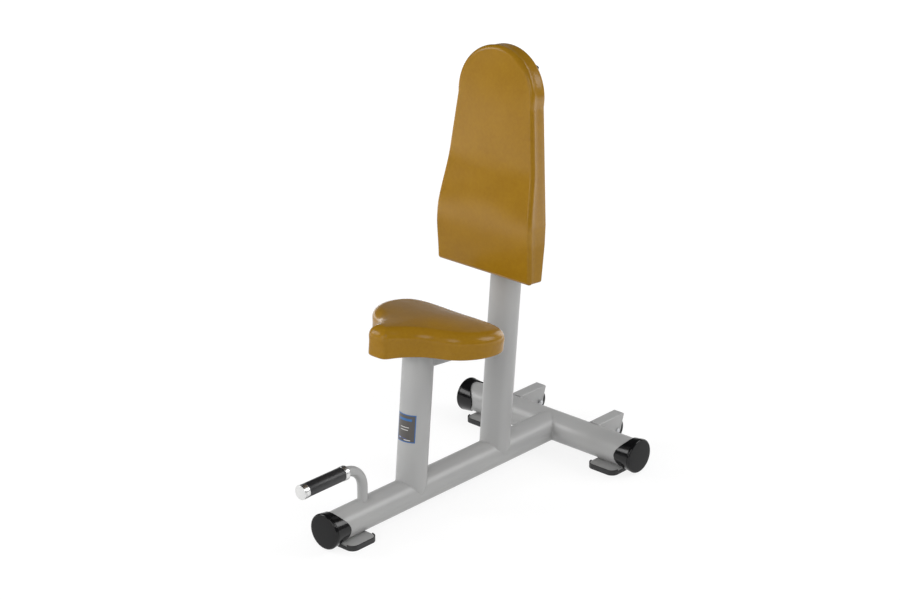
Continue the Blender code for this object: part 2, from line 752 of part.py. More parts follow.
def back_outline(shrink):
    """From the front: a straight foot, a widest hip, straight tapering sides and a round head."""
    head = (0, BACK_TOP - BACK_HEAD_RADIUS)
    head_radius = BACK_HEAD_RADIUS - shrink
    taper = (BACK_TAPER_HALF_WIDTH - shrink, BACK_TAPER_START)
    rise = head[1] - taper[1]
    lean = math.acos(head_radius / math.hypot(taper[0], rise)) - math.atan2(rise, taper[0])
    crown = arc(head, head_radius, -lean, QUARTER, 9)
    bottom = BACK_BOTTOM + shrink
    corner_radius = max(BACK_LOW_CORNER - shrink, LEAST_CORNER)
    corner = (BACK_LOW_HALF_WIDTH - shrink - corner_radius, bottom + corner_radius)
    low_side = (BACK_LOW_HALF_WIDTH - shrink, corner[1])
    hip = (BACK_HIP_HALF_WIDTH - shrink, BACK_HIP_HEIGHT)
    return mirrored([
        (0, bottom), (corner[0] / 2, bottom),
        *arc(corner, corner_radius, -QUARTER, 0, 3),
        blend(low_side, hip, 0.5), hip, taper,
        *(blend(taper, crown[0], share) for share in (0.2, 0.4, 0.6, 0.8)),
        *crown,
    ])


def lumbar_face(x, y):
    """The back's swell for the small of the back."""
    away = min(abs(y - LUMBAR_HEIGHT) / LUMBAR_SPAN, 1)
    return LUMBAR_RISE * math.cos(QUARTER * away) ** 2


def backrest():
    """Built flat against the front of the back post, with a recess in its board for the post's cap."""
    base = (0, -BACK_PLANE, 0)
    middle = (0, (BACK_BOTTOM + BACK_TOP) / 2)
    pad = cushion(
        "back_cushion", back_outline, BACK_THICKNESS, lumbar_face, BACK_EDGE, BACK_BOARD, middle
    )
    place(pad, BACK_AXIS, base, TO_FRONT, VINYL)
    spots = [(x, y) for y in BACK_PLATE_HEIGHTS for x in (-BACK_BOLT_X, BACK_BOLT_X)]
    outline = back_outline(BOARD_INSET)
    board = bolted_board("back", outline, BACK_BOARD, spots, BACK_PLATE, BACK_AXIS, base, TO_FRONT)
    depth = CAP_RIM + GAP - BACK_PLANE
    width = 2 * math.sqrt(CAP_RIM**2 - BACK_PLANE**2) + 2 * GAP
    recess = as_cutter(box("cap_recess", (width, CAP_LONG_SIDE + 2 * GAP, 2 * depth)))
    cut(board, place(recess, board.parent, (0, BACK_POST_HEIGHT - CAP_LONG_SIDE / 2, 0)))

    plate_back = (0, BACK_PLATE - BACK_PLATE_FACE, 0)
    for name, height in zip(("lower_back_plate", "upper_back_plate"), BACK_PLATE_HEIGHTS):
        plate = rounded_box(
            BACK_PLATE_HALF_WIDTH, BACK_PLATE_HALF_HEIGHT, BACK_PLATE_CORNER, (0, height)
        )
        own_spots = [spot for spot in spots if spot[1] == height]
        mount_plate(name, plate, BACK_PLATE, own_spots, BACK_AXIS, plate_back, TO_FRONT)


def post_label():
    """A thin label bent round the front of the seat post."""
    radius = TUBE_RADIUS + GAP
    half_angle = LABEL_WIDTH / radius / 2
    low, high = LABEL_TURN - QUARTER - half_angle, LABEL_TURN - QUARTER + half_angle
    outside = arc((0, 0), radius + LABEL_THICKNESS, low, high, 9)
    inside = arc((0, 0), radius, high, low, 9)
    label = sheet("post_label", [outside + inside], LABEL_HEIGHT)
    place(label, SEAT_AXIS, (0, 0, LABEL_MIDDLE - LABEL_HEIGHT / 2), finish=LABEL_FILM)


# The bench

clear_scene()
PARTS = new_collection("utility_bench")
CUTTERS = new_collection("cutters")
PAINT = material("grey powder coat", (0.42, 0.42, 0.42), 0.45, 0.1)
CAP_PLASTIC = material("black plastic", (0.012, 0.012, 0.012), 0.25)
RUBBER = material("black rubber", (0.02, 0.02, 0.02), 0.6)
BRIGHT_METAL = material("brushed aluminium", (0.85, 0.85, 0.85), 0.25, 1.0)
ZINC = material("zinc-plated steel", (0.6, 0.6, 0.62), 0.35, 1.0)
NYLON = material("grey nylon", (0.15, 0.15, 0.15), 0.5)
VINYL = material("mustard vinyl", (0.36, 0.2, 0.035), 0.4)
PLYWOOD = material("black-backed plywood", (0.05, 0.045, 0.04), 0.8)
LABEL_FILM = material("printed label film", (0.03, 0.04, 0.06), 0.3)

FRAME = axis_empty("frame_origin", None, (0, (FRONT_END - REAR_END) / 2, FLOOR))
SEAT_AXIS = axis_empty("seat_post_axis", FRAME, rotation=(-POST_LEAN, 0, 0))
BACK_AXIS = axis_empty("back_post_axis", FRAME, (0, BACK_POST_Y, 0), (-POST_LEAN, 0, 0))

AROUND_MAIN = rod_cutter("main_tube_cope", TUBE_RADIUS + GAP, -FRONT_REACH, CROSS_TUBE_Y)
AROUND_CROSS = rod_cutter("cross_tube_cope", TUBE_RADIUS + GAP, -HALF_WIDTH, HALF_WIDTH)
place(AROUND_MAIN, FRAME, rotation=TO_REAR)
place(AROUND_CROSS, FRAME, (0, CROSS_TUBE_Y, 0), TO_RIGHT)

frame_tubes(AROUND_MAIN, AROUND_CROSS)
end_caps()
feet()
handle(AROUND_MAIN)
wheels(AROUND_CROSS)
seat_carrier()
seat()
backrest()
post_label()
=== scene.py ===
"""Utility bench, dressed: an upright seat with a tall back pad on a frame of round steel tube.

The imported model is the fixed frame. Finer pieces stand in the places of its solids, and each
surface has a procedural finish. Metres, +Z up, and the seated person faces -Y.
"""

import json
import math

import bmesh
import bpy
import numpy as np
from mathutils import Euler, Matrix, Vector

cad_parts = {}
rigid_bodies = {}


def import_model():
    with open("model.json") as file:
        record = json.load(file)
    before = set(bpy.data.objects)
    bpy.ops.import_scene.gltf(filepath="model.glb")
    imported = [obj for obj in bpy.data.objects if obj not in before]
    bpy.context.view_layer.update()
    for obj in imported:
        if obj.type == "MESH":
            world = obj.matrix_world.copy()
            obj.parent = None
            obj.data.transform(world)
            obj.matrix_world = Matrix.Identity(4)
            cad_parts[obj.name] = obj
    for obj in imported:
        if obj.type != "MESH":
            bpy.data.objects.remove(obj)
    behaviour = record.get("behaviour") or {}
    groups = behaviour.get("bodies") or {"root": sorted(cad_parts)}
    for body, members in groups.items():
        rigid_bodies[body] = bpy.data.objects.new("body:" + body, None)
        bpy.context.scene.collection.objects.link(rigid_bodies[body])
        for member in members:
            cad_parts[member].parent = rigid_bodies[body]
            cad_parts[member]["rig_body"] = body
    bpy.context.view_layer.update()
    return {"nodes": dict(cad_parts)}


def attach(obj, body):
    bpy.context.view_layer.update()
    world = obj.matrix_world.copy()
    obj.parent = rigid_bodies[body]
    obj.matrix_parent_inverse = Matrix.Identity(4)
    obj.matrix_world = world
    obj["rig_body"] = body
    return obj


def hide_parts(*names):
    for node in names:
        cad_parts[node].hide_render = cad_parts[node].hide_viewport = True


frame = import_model()

# Between pieces that touch, and how near points are merged
GAP = 0.0003
MERGE = 0.00001

# Frame tubes
TUBE_RADIUS = 0.038
TUBE_EDGE = 0.0008
POST_LEAN = math.radians(5)
POST_FOOT = 0.006
BACK_POST_Y = 0.303
CROSS_TUBE_Y = 0.5235
MAIN_TUBE_STOP = 0.002
FRONT_REACH = 0.2945
HALF_WIDTH = 0.289
BACK_POST_HEIGHT = 0.9804
FLOOR = 0.0506
FRAME_Y = -0.14

# Weld beads: their radii, their steepness where it is even, their least share and their ripple
TUBE_WELD = 0.0016
HANDLE_WELD = 0.0014
BRACKET_WELD = 0.0013
WELD_EVEN = 0.8
WELD_LEAST = 0.25
WELD_RIPPLE = 0.06
WELD_WAVE = 1.7
WELD_POINTS = 160
WELD_SIDES = 12

# End caps of the frame tubes
CAP_END = 0.005
CAP_DEPTH = 0.012
CAP_BORE = 0.0383
CAP_MOUTH = 0.0413
CAP_RIM = 0.0442
CAP_EDGE = 0.0045
CAP_CROWN = 0.0008
CAP_SHORT_SIDE = 0.0268
CAP_LONG_SIDE = 0.052
CAP_SCALLOP_POWER = 2.5
CAP_SLEEVE_START = 0.0086

# Feet
FOOT_LENGTH = 0.082
FOOT_WIDTH = 0.105
FOOT_PLATE = 0.005
FOOT_PLATE_EDGE = 0.0008
FOOT_CORNER = 0.017
FOOT_TOP = 0.0383
FOOT_RUBBER = 0.007
FOOT_RUBBER_WALL = 0.002
FOOT_RUBBER_EDGE = 0.0004
FOOT_LIP = 0.0015
FOOT_NOTCH_INSET = 0.002
FOOT_SETBACK = 0.084
FOOT_WELD_SHARE = 0.86
FOOT_WELD_OFFSET = 0.0108
FOOT_WELD_HEIGHT = -0.0374

# Lifting handle
HANDLE_Y = 0.164
HANDLE_HEIGHT = 0.127
HANDLE_BEND = 0.055
HANDLE_RADIUS = 0.0125
HANDLE_REACH = 0.3645
HANDLE_TIP_DEPTH = 0.0033
GRIP_RADIUS = 0.017
GRIP_LENGTH = 0.115
COLLAR_RADIUS = 0.0178
COLLAR_LENGTH = 0.0127
END_CAP_LENGTH = 0.0163
TURNED_EDGE = 0.0012
TURNED_BACK_EDGE = 0.0005
GRIP_EDGE = 0.001

# Transport wheels
BRACKET_X = 0.1303
BRACKET_WIDTH = 0.0324
BRACKET_SKIRT = 0.017
BRACKET_WELD_TOP = 1.45
AXLE_REACH = 0.0895
AXLE_DROP = 0.003
AXLE_RADIUS = 0.004
AXLE_HEAD_RADIUS = 0.0065
AXLE_HEAD = 0.004
WHEEL_RADIUS = 0.0315
WHEEL_EDGE = 0.003
TYRE_HALF_WIDTH = 0.0105
HUB_RADIUS = 0.021
HUB_HALF_WIDTH = 0.0113
HUB_BORE = 0.0064
WASHER_RADIUS = 0.0085
WASHER_LOW = 0.0116
WASHER_HIGH = 0.0129

# Seat pad, along the leaning seat post
SEAT_BASE = 0.3728
SEAT_THICKNESS = 0.065
SEAT_PITCH = 0.076
SEAT_EDGE = 0.027
SEAT_BOARD = 0.015
SEAT_POST_TOP = 0.3672
SEAT_BOLTS = ((-0.045, -0.033), (0.045, -0.033), (-0.045, 0.093), (0.045, 0.093))
SEAT_BOLT_GRIP = 0.0056
SEAT_CAGE = (
    (0, -0.152), (0.032, -0.1525), (0.0365, -0.111), (0.077, -0.0515), (0.131, -0.037),
    (0.176, 0.034), (0.1715, 0.1345), (0.098, 0.1585), (0, 0.1465),
)

# Back pad, along the leaning back post
BACK_BOTTOM = 0.485
BACK_TOP = 1.038
BACK_LOW_HALF_WIDTH = 0.1478
BACK_HIP_HALF_WIDTH = 0.15
BACK_HIP_HEIGHT = 0.581
BACK_TAPER_START = 0.631
BACK_TAPER_HALF_WIDTH = 0.1484
BACK_HEAD_RADIUS = 0.1176
BACK_LOW_CORNER = 0.008
BACK_THICKNESS = 0.0508
BACK_EDGE = 0.0105
LUMBAR_HEIGHT = 0.619
LUMBAR_RISE = 0.0142
LUMBAR_SPAN = 0.152
BACK_BOARD = 0.012
BACK_PLANE = 0.0416
BACK_PLATE_HEIGHTS = (0.566, 0.831)
BACK_BOLT_X = 0.068
BACK_BOLT_GRIP = 0.0036

# Both pads
BOARD_INSET = 0.010
CUSHION_CROWN = 0.002
CUSHION_DRAW_IN = 0.0012
CUSHION_BACK_EDGE = 0.004
PAD_VOXEL = 0.0045
PAD_SLACK = 0.0015
PAD_TRAVEL = 0.003
PAD_EVEN = 0.012
PAD_FRAMES = 20
PAD_PRESSURE = 4

# Bolts
BOLT_HEAD_RADIUS = 0.0075
BOLT_HEAD = 0.0053
BOLT_FLANGE_RADIUS = 0.0085
BOLT_FLANGE = 0.0012
BOLT_SHANK = 0.004
NUT_HEIGHT = 0.0065

# Label on the seat post
LABEL_WIDTH = 0.054
LABEL_HEIGHT = 0.070
LABEL_MIDDLE = 0.172
LABEL_TURN = math.radians(7.5)
LABEL_FILM = 0.0004
LABEL_SOFT_EDGE = 0.008

# Its blocks and bars as (left, right, low, high, colour), in shares of its width and height
LABEL_PRINT = (
    (0.04, 0.96, 0.03, 0.97, "4E4B49"), (0.13, 0.82, 0.77, 0.86, "2E659F"),
    (0.24, 0.7, 0.52, 0.555, "C9C9C6"), (0.24, 0.66, 0.425, 0.46, "C9C9C6"),
    (0.15, 0.29, 0.11, 0.16, "8C9CCB"), (0.31, 0.6, 0.115, 0.145, "47528A"),
    (0.46, 0.78, 0.065, 0.1, "D5D5D2"),
)

# Studio light: its even fill, and round lamps as (name, azimuth, elevation, watts)
WORLD_FILL = 0.41
LAMP_AIM = (0, 0, 0.5)
LAMP_DISTANCE = 4
LAMP_SIZE = 2.0
LAMPS = (
    ("front_lamp", 0, 12, 31.0), ("front_left_lamp", 310, 22, 63.0),
    ("camera_side_lamp", 45, 30, 42.0), ("rear_right_lamp", 135, 27, 58.0),
    ("rear_lamp", 180, 12, 28.0),
)

# Floor: how pale it is where lit, how it glows by its distance from the bench, and its sheen
FLOOR_SIZE = 80
FLOOR_LIT = (0.75, 0.75, 0.75, 1)
FLOOR_SHADED = (0.2, 0.2, 0.2, 1)
GLOW_RANGE = (0.8, 5.0)
GLOW = (0.83, 1.0)
SHEEN_REACH = 10.0
SHEEN_STRENGTH = 2.6

# What shines sees these greys: of the floor by its distance, as a share of SHEEN_REACH, and of
# the room in front and behind by the height above the horizon
FLOOR_GREYS = (
    (0.1, "9E9E9E"), (0.15, "757575"), (0.19, "757575"), (0.28, "FFFFFF"), (0.55, "FFFFFF"),
    (0.8, "404040"),
)
FRONT_GREYS = ((0.0, "606060"), (0.05, "2A2A2A"))
REAR_GREYS = ((0.16, "888888"), (0.4, "2A2A2A"))
ROOM_TURN = 0.3
WHITE = (1, 1, 1, 1)

# Camera, as fitted to the photograph
CAMERA_LENS = 92.38
CAMERA_SENSOR = 36
CAMERA_PLACE = (3.44207, -3.76416, 2.51507)
CAMERA_TURN = (68.47, 0, 42.437)

# How finely round shapes are drawn, and the angles at which edges are flat or sharp
TUBE_SIDES = 128
WHEEL_SIDES = 96
SMALL_SIDES = 64
ROD_SIDES = 48
FLAT_ANGLE = math.radians(3)
EDGE_ANGLE = math.radians(30)
SHARP_ANGLE = math.radians(40)
QUARTER = math.pi / 2


# Places and directions

def turn(x, y=0.0, z=0.0):
    """A turn about the axes, as a matrix."""
    return Euler((x, y, z)).to_matrix().to_4x4()


def at(x, y, z):
    """A move, as a matrix."""
    return Matrix.Translation((x, y, z))


TO_FRONT = turn(QUARTER)
TO_REAR = turn(-QUARTER)
TO_RIGHT = turn(QUARTER, 0, QUARTER)
TO_LEFT = turn(QUARTER, 0, -QUARTER)
BENCH = at(0, FRAME_Y, FLOOR)
SEAT_AXIS = BENCH @ turn(-POST_LEAN)
BACK_AXIS = BENCH @ at(0, BACK_POST_Y, 0) @ turn(-POST_LEAN)
CROSS = BENCH @ at(0, CROSS_TUBE_Y, 0)


# Finishes

def linear(hex_colour):
    """An sRGB hex colour as the linear colour that a shader takes."""
    shares = [int(hex_colour[i:i + 2], 16) / 255 for i in (0, 2, 4)]
    return (*(s / 12.92 if s <= 0.04045 else ((s + 0.055) / 1.055) ** 2.4 for s in shares), 1.0)


def add_node(tree, kind, inputs=(), **settings):
    """A node with its settings; each input is given a value, or a socket or node to link from."""
    made = tree.nodes.new("ShaderNode" + kind)
    for name, value in settings.items():
        setattr(made, name, value)
    for key, value in dict(inputs).items():
        if isinstance(value, bpy.types.Node):
            value = value.outputs[0]
        if isinstance(value, bpy.types.NodeSocket):
            tree.links.new(value, made.inputs[key])
        else:
            made.inputs[key].default_value = value
    return made


def new_finish(name, **sockets):
    """A material, its tree and its Object coordinates."""
    made = bpy.data.materials.new(name)
    made.use_nodes = True
    tree = made.node_tree
    shader = tree.nodes["Principled BSDF"]
    for socket, value in sockets.items():
        shader.inputs[socket.replace("_", " ")].default_value = value
    return made, tree, add_node(tree, "TexCoord").outputs["Object"]


def ramp(tree, value, stops):
    """A colour ramp over a value: stops of (position, hex colour)."""
    made = add_node(tree, "ValToRGB", {"Fac": value})
    for i, (position, colour) in enumerate(stops):
        stop = made.color_ramp.elements[i] if i < 2 else made.color_ramp.elements.new(position)
        stop.position = position
        stop.color = linear(colour)
    return made


def noise(tree, vector, scale, detail, **more):
    """A noise over some coordinates."""
    return add_node(tree, "TexNoise", {"Vector": vector, "Scale": scale, "Detail": detail, **more})


def feed(tree, socket, node):
    """Links what a node makes into the shader of a finish."""
    tree.links.new(node.outputs[0], tree.nodes["Principled BSDF"].inputs[socket])


def colour_by(tree, value, *stops):
    """Lets a value choose the colour of a finish, along a ramp."""
    feed(tree, "Base Color", ramp(tree, value, stops))


def roughen(tree, value, low, high):
    """Lets a value choose how rough a finish is, between two limits."""
    rough = add_node(tree, "MapRange", {"Value": value, "To Min": low, "To Max": high})
    feed(tree, "Roughness", rough)


def emboss(tree, height, strength, distance):
    """Gives a finish its fine relief."""
    relief = {"Height": height, "Strength": strength, "Distance": distance}
    feed(tree, "Normal", add_node(tree, "Bump", relief))


def powder_coat():
    """Steel tube, sprayed with powder and baked: even satin grey over a faint orange peel."""
    made, tree, place = new_finish("powder-coated steel", IOR=1.5)
    colour_by(tree, noise(tree, place, 9.0, 3.0), (0.3, "A4A4A4"), (0.7, "A9A9A8"))
    # Real orange peel is about 1 mm across; it is drawn at 3 mm so that it shows
    peel = noise(tree, place, 330.0, 1.5)
    roughen(tree, peel, 0.32, 0.4)
    emboss(tree, peel, 0.25, 0.0002)
    return made


def gloss_plastic(name, shine, roughness, grain):
    """Black polyethylene, injection moulded: deep black with a gloss as good as its mould's."""
    made, tree, place = new_finish(name, IOR=1.5, Specular_IOR_Level=shine)
    cloud = noise(tree, place, 60.0, 4.0)
    colour_by(tree, cloud, (0.35, "0E0E0F"), (0.65, "131314"))
    roughen(tree, cloud, roughness * 0.85, roughness * 1.2)
    # Mould texture of about half a millimetre, drawn at 1.2 mm
    emboss(tree, noise(tree, place, 800.0, 2.0), grain, 0.0001)
    return made


def black_rubber(name, low, high, roughness, grain):
    """Moulded black rubber: soft and dull, with a slightly dusty bloom."""
    made, tree, place = new_finish(name, IOR=1.5)
    cloud = noise(tree, place, 90.0, 5.0)
    colour_by(tree, cloud, (0.35, low), (0.7, high))
    roughen(tree, cloud, roughness - 0.06, roughness + 0.06)
    # Grit of about 0.3 mm, drawn at 1 mm
    emboss(tree, noise(tree, place, 1000.0, 2.0), grain, 0.0002)
    return made


def bright_aluminium():
    """Turned and polished aluminium: near white, with faint lathe lines round the piece."""
    made, tree, place = new_finish("polished aluminium", Metallic=1.0)
    # Lathe lines about 0.2 mm apart, drawn at 0.8 mm; they change along the handle only
    along = add_node(tree, "Mapping", {"Vector": place, "Scale": (15.0, 1200.0, 15.0)})
    lines = noise(tree, along, 1.0, 2.0)
    colour_by(tree, lines, (0.3, "D4D4D4"), (0.7, "E0E0DF"))
    roughen(tree, lines, 0.26, 0.36)
    emboss(tree, lines, 0.12, 0.0001)
    return made


def zinc_plate():
    """Steel fasteners, bright zinc plated: cool grey metal, clouded by the plating."""
    made, tree, place = new_finish("zinc-plated steel", Metallic=1.0)
    cloud = noise(tree, place, 420.0, 4.0)
    colour_by(tree, cloud, (0.3, "BEC0C4"), (0.7, "D2D3D4"))
    roughen(tree, cloud, 0.42, 0.56)
    return made


def grey_nylon():
    """Moulded nylon: matt grey, faintly mottled."""
    made, tree, place = new_finish("moulded nylon", IOR=1.53)
    cloud = noise(tree, place, 150.0, 3.0)
    colour_by(tree, cloud, (0.3, "4A4A4B"), (0.7, "535354"))
    roughen(tree, cloud, 0.42, 0.56)
    return made


def mustard_vinyl():
    """Upholstery vinyl, calendered and embossed: mustard yellow with a soft leather grain."""
    made, tree, place = new_finish("mustard vinyl", IOR=1.5, Specular_IOR_Level=0.2)
    cloud = noise(tree, place, 120.0, 3.0, Roughness=0.6)
    mix = add_node(tree, "MixRGB", {
        "Fac": 0.35, "Color1": ramp(tree, cloud, ((0.35, "8F6814"), (0.65, "976F17"))),
        "Color2": ramp(tree, noise(tree, place, 16.0, 2.0), ((0.35, "8D6613"), (0.65, "997118"))),
    })
    feed(tree, "Base Color", mix)
    roughen(tree, cloud, 0.2, 0.27)
    # The embossed grain is about 1 mm across; it is drawn at 2.5 mm so that it shows
    grain = add_node(tree, "TexVoronoi", {"Vector": place, "Scale": 400.0}, feature="SMOOTH_F1")
    emboss(tree, grain, 0.2, 0.0004)
    return made


def stained_plywood():
    """Plywood board, stained near black: long grain, dull."""
    made, tree, place = new_finish("black-stained plywood", IOR=1.45)
    long = add_node(tree, "Mapping", {"Vector": place, "Scale": (260.0, 260.0, 14.0)})
    grain = noise(tree, long, 1.0, 5.0, Distortion=0.4)
    colour_by(tree, grain, (0.3, "1B1917"), (0.72, "332F2B"))
    roughen(tree, grain, 0.62, 0.8)
    emboss(tree, grain, 0.35, 0.0003)
    return made


def printed_film():
    """A printed polyester label under clear laminate: dark grey, edged and banded in blue."""
    made, tree = new_finish("printed label film", IOR=1.5, Roughness=0.3)[:2]
    flat = add_node(tree, "TexCoord").outputs["UV"]
    across = add_node(tree, "SeparateXYZ", {"Vector": flat}).outputs

    def within(axis, low, high):
        """1 where a coordinate lies between two values, with a slightly soft edge."""
        half = (high - low) / 2
        away = add_node(tree, "Math", {0: across[axis], 1: (low + high) / 2}, operation="SUBTRACT")
        return add_node(tree, "MapRange", {
            "Value": add_node(tree, "Math", {0: away}, operation="ABSOLUTE"),
            "From Min": half - LABEL_SOFT_EDGE, "From Max": half, "To Min": 1.0, "To Max": 0.0,
        })

    # Ink mottle of a few tenths of a millimetre, drawn at about 1 mm
    colour = ramp(tree, noise(tree, flat, 60.0, 2.0), ((0.3, "2B5C96"), (0.7, "3165A2")))
    for left, right, low, high, ink in LABEL_PRINT:
        sides = {0: within("X", left, right), 1: within("Y", low, high)}
        here = add_node(tree, "Math", sides, operation="MULTIPLY")
        colour = add_node(tree, "MixRGB", {"Fac": here, "Color1": colour, "Color2": linear(ink)})
    feed(tree, "Base Color", colour)
    return made


PAINT = powder_coat()
CAP_GLOSS = gloss_plastic("gloss black polyethylene", 0.3, 0.16, 0.05)
CAP_DISC = gloss_plastic("textured black polyethylene", 0.2, 0.42, 0.5)
FOOT_FINISH = black_rubber("foot rubber", "1A1A1B", "222223", 0.5, 0.3)
GRIP_FINISH = black_rubber("grip rubber", "202021", "28282A", 0.4, 0.35)
TYRE_FINISH = black_rubber("tyre rubber", "161617", "1E1E1F", 0.6, 0.3)
BRIGHT = bright_aluminium()
ZINC = zinc_plate()
NYLON = grey_nylon()
VINYL = mustard_vinyl()
PLYWOOD = stained_plywood()
FILM = printed_film()


# Making and dressing pieces

def added(name, data):
    """A new object at the origin, in the scene."""
    made = bpy.data.objects.new(name, data)
    bpy.context.scene.collection.objects.link(made)
    return made


def begin(name, add, **how):
    """Adds a primitive on its own and opens it in edit mode, with all of it selected."""
    bpy.ops.object.select_all(action="DESELECT")
    add(**how)
    piece = bpy.context.object
    piece.name = piece.data.name = name
    bpy.ops.object.mode_set(mode="EDIT")
    return piece


def pick(kind, wanted):
    """In edit mode, selects the vertices, edges or faces that are wanted, and nothing else."""
    bpy.ops.mesh.select_mode(type=kind)
    bpy.ops.mesh.select_all(action="DESELECT")
    shape = bmesh.from_edit_mesh(bpy.context.edit_object.data)
    shape.normal_update()
    for part in {"VERT": shape.verts, "EDGE": shape.edges, "FACE": shape.faces}[kind]:
        if wanted(part):
            part.select_set(True)
    bmesh.update_edit_mesh(bpy.context.edit_object.data)


def only(piece):
    """Makes a piece the one that is selected and active."""
    bpy.ops.object.select_all(action="DESELECT")
    piece.select_set(True)
    bpy.context.view_layer.objects.active = piece


def use_modifier(piece, kind, **settings):
    """Adds a modifier with its settings and applies it."""
    only(piece)
    made = piece.modifiers.new(kind, kind)
    for name, value in settings.items():
        setattr(made, name, value)
    bpy.ops.object.modifier_apply(modifier=made.name)


def end(piece, smooth=35):
    """Leaves edit mode, with the faces outwards and the shading smooth but for its corners."""
    bpy.ops.mesh.select_all(action="SELECT")
    bpy.ops.mesh.normals_make_consistent(inside=False)
    bpy.ops.object.mode_set(mode="OBJECT")
    bpy.ops.object.shade_smooth_by_angle(angle=math.radians(smooth))
    return piece


def dress(piece, finish, slot, *nodes, body="frame"):
    """Gives a piece its finish and its body, and hides the solids that it stands for."""
    piece.data.materials.clear()
    piece.data.materials.append(finish)
    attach(piece, body)
    if nodes:
        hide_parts(*nodes)


def copied(model, name, place):
    """A copy of a model in its place, with its own mesh and its object at the origin."""
    piece = added(name, model.data.copy())
    piece.data.name = name
    piece.data.transform(place)
    return piece


def set_in(model, place):
    """Moves a model's mesh to its place."""
    model.data.transform(place)
    return model


def join(pieces):
    """Makes one piece of several, under the name of the first."""
    bpy.ops.object.select_all(action="DESELECT")
    for piece in pieces:
        piece.select_set(True)
    bpy.context.view_layer.objects.active = pieces[0]
    bpy.ops.object.join()
    return pieces[0]


def arc(centre, radius, start, stop, steps):
    """Points along an arc, from one angle to another, both included."""
    angles = [start + (stop - start) * i / steps for i in range(steps + 1)]
    return [(centre[0] + radius * math.cos(a), centre[1] + radius * math.sin(a)) for a in angles]


def turned(name, profile, sides=TUBE_SIDES):
    """A circle drawn out along Z from ring to ring of (radius, height).

    A profile that starts on the axis is closed over both its ends; any other is bridged back to
    its start, as a tube.
    """
    rings = [ring for ring in profile if ring[0] > 0]
    piece = begin(name, bpy.ops.mesh.primitive_circle_add, vertices=sides, radius=rings[0][0])
    bpy.ops.transform.translate(value=(0, 0, rings[0][1]))
    for (radius, height), (wider, higher) in zip(rings, rings[1:]):
        share = wider / radius
        bpy.ops.mesh.extrude_edges_move(TRANSFORM_OT_translate={"value": (0, 0, higher - height)})
        bpy.ops.transform.resize(value=(share, share, 1), center_override=(0, 0, 0))
    pick("EDGE", lambda edge: len(edge.link_faces) < 2)
    if profile[0][0] > 0:
        bpy.ops.mesh.bridge_edge_loops()
    else:
        bpy.ops.mesh.fill_holes(sides=0)
    return end(piece)


def rod_along(name, path, radius, sides, cyclic=False):
    """A round bar along a path; radius is one value, or one for each point."""
    curve = bpy.data.curves.new(name, "CURVE")
    curve.dimensions = "3D"
    curve.bevel_depth = 1.0
    curve.bevel_resolution = sides // 2 - 2
    curve.use_fill_caps = not cyclic
    line = curve.splines.new("POLY")
    line.points.add(len(path) - 1)
    for i, (point, spot) in enumerate(zip(line.points, path)):
        point.co = (*spot, 1)
        point.radius = radius if isinstance(radius, float) else radius[i]
    line.use_cyclic_u = cyclic
    piece = added(name, curve)
    only(piece)
    bpy.ops.object.convert(target="MESH")
    bpy.ops.object.mode_set(mode="EDIT")
    bpy.ops.mesh.select_all(action="SELECT")
    bpy.ops.mesh.remove_doubles(threshold=MERGE)
    return end(piece)


def eased(name, node, width):
    """A copy of a solid with its triangles merged into faces and its edges rounded."""
    piece = added(name, frame["nodes"][node].data.copy())
    only(piece)
    bpy.ops.object.mode_set(mode="EDIT")
    bpy.ops.mesh.select_all(action="SELECT")
    bpy.ops.mesh.remove_doubles(threshold=MERGE)
    bpy.ops.mesh.dissolve_limited(angle_limit=FLAT_ANGLE)
    bpy.ops.mesh.normals_make_consistent(inside=False)
    bpy.ops.object.mode_set(mode="OBJECT")
    use_modifier(
        piece, "BEVEL", width=width, segments=3, limit_method="ANGLE", angle_limit=EDGE_ANGLE
    )
    bpy.ops.object.shade_smooth_by_angle(angle=SHARP_ANGLE)
    return piece


def rounded_slab(name, length, width, corner, low, high, ease):
    """A slab with rounded corners and eased edges, its long side along X."""
    piece = begin(name, bpy.ops.mesh.primitive_cube_add, size=1)
    bpy.ops.transform.resize(value=(length, width, high - low), center_override=(0, 0, 0))
    bpy.ops.transform.translate(value=(0, 0, (low + high) / 2))
    pick("EDGE", lambda edge: abs(edge.verts[0].co.z - edge.verts[1].co.z) > (high - low) / 2)
    bpy.ops.mesh.bevel(offset=corner, segments=12)
    if ease:
        pick("FACE", lambda face: abs(face.normal.z) > 0.9)
        bpy.ops.mesh.region_to_loop()
        bpy.ops.mesh.bevel(offset=ease, segments=3)
    return end(piece)


# Frame tubes and their welds

def tube(name, low, high, place, node):
    """A drawn steel tube, whose ends are hidden in caps or in the tube that it is welded to."""
    inner = TUBE_RADIUS - TUBE_EDGE
    profile = [(0, high), (inner, high), (TUBE_RADIUS, high - TUBE_EDGE)]
    profile += [(TUBE_RADIUS, low + TUBE_EDGE), (inner, low), (0, low)]
    dress(set_in(turned(name, profile), place), PAINT, "powder_coat", node)


def saddle_points(run_y, lean, radius):
    """Where a leaning round post meets the main tube, as points and their steepness.

    Steepness is 1 where the two surfaces meet squarely and 0 where one runs on into the other.
    """
    points = []
    for i in range(WELD_POINTS):
        a = 2 * math.pi * i / WELD_POINTS
        x, back = radius * math.cos(a), radius * math.sin(a)
        up = (math.sqrt(max(TUBE_RADIUS**2 - x**2, 0)) + back * math.sin(lean)) / math.cos(lean)
        spot = Vector((x, run_y + back * math.cos(lean) + up * math.sin(lean),
                       up * math.cos(lean) - back * math.sin(lean)))
        points.append((spot, abs(math.sin(a)) if radius > TUBE_RADIUS / 2 else WELD_EVEN))
    return points


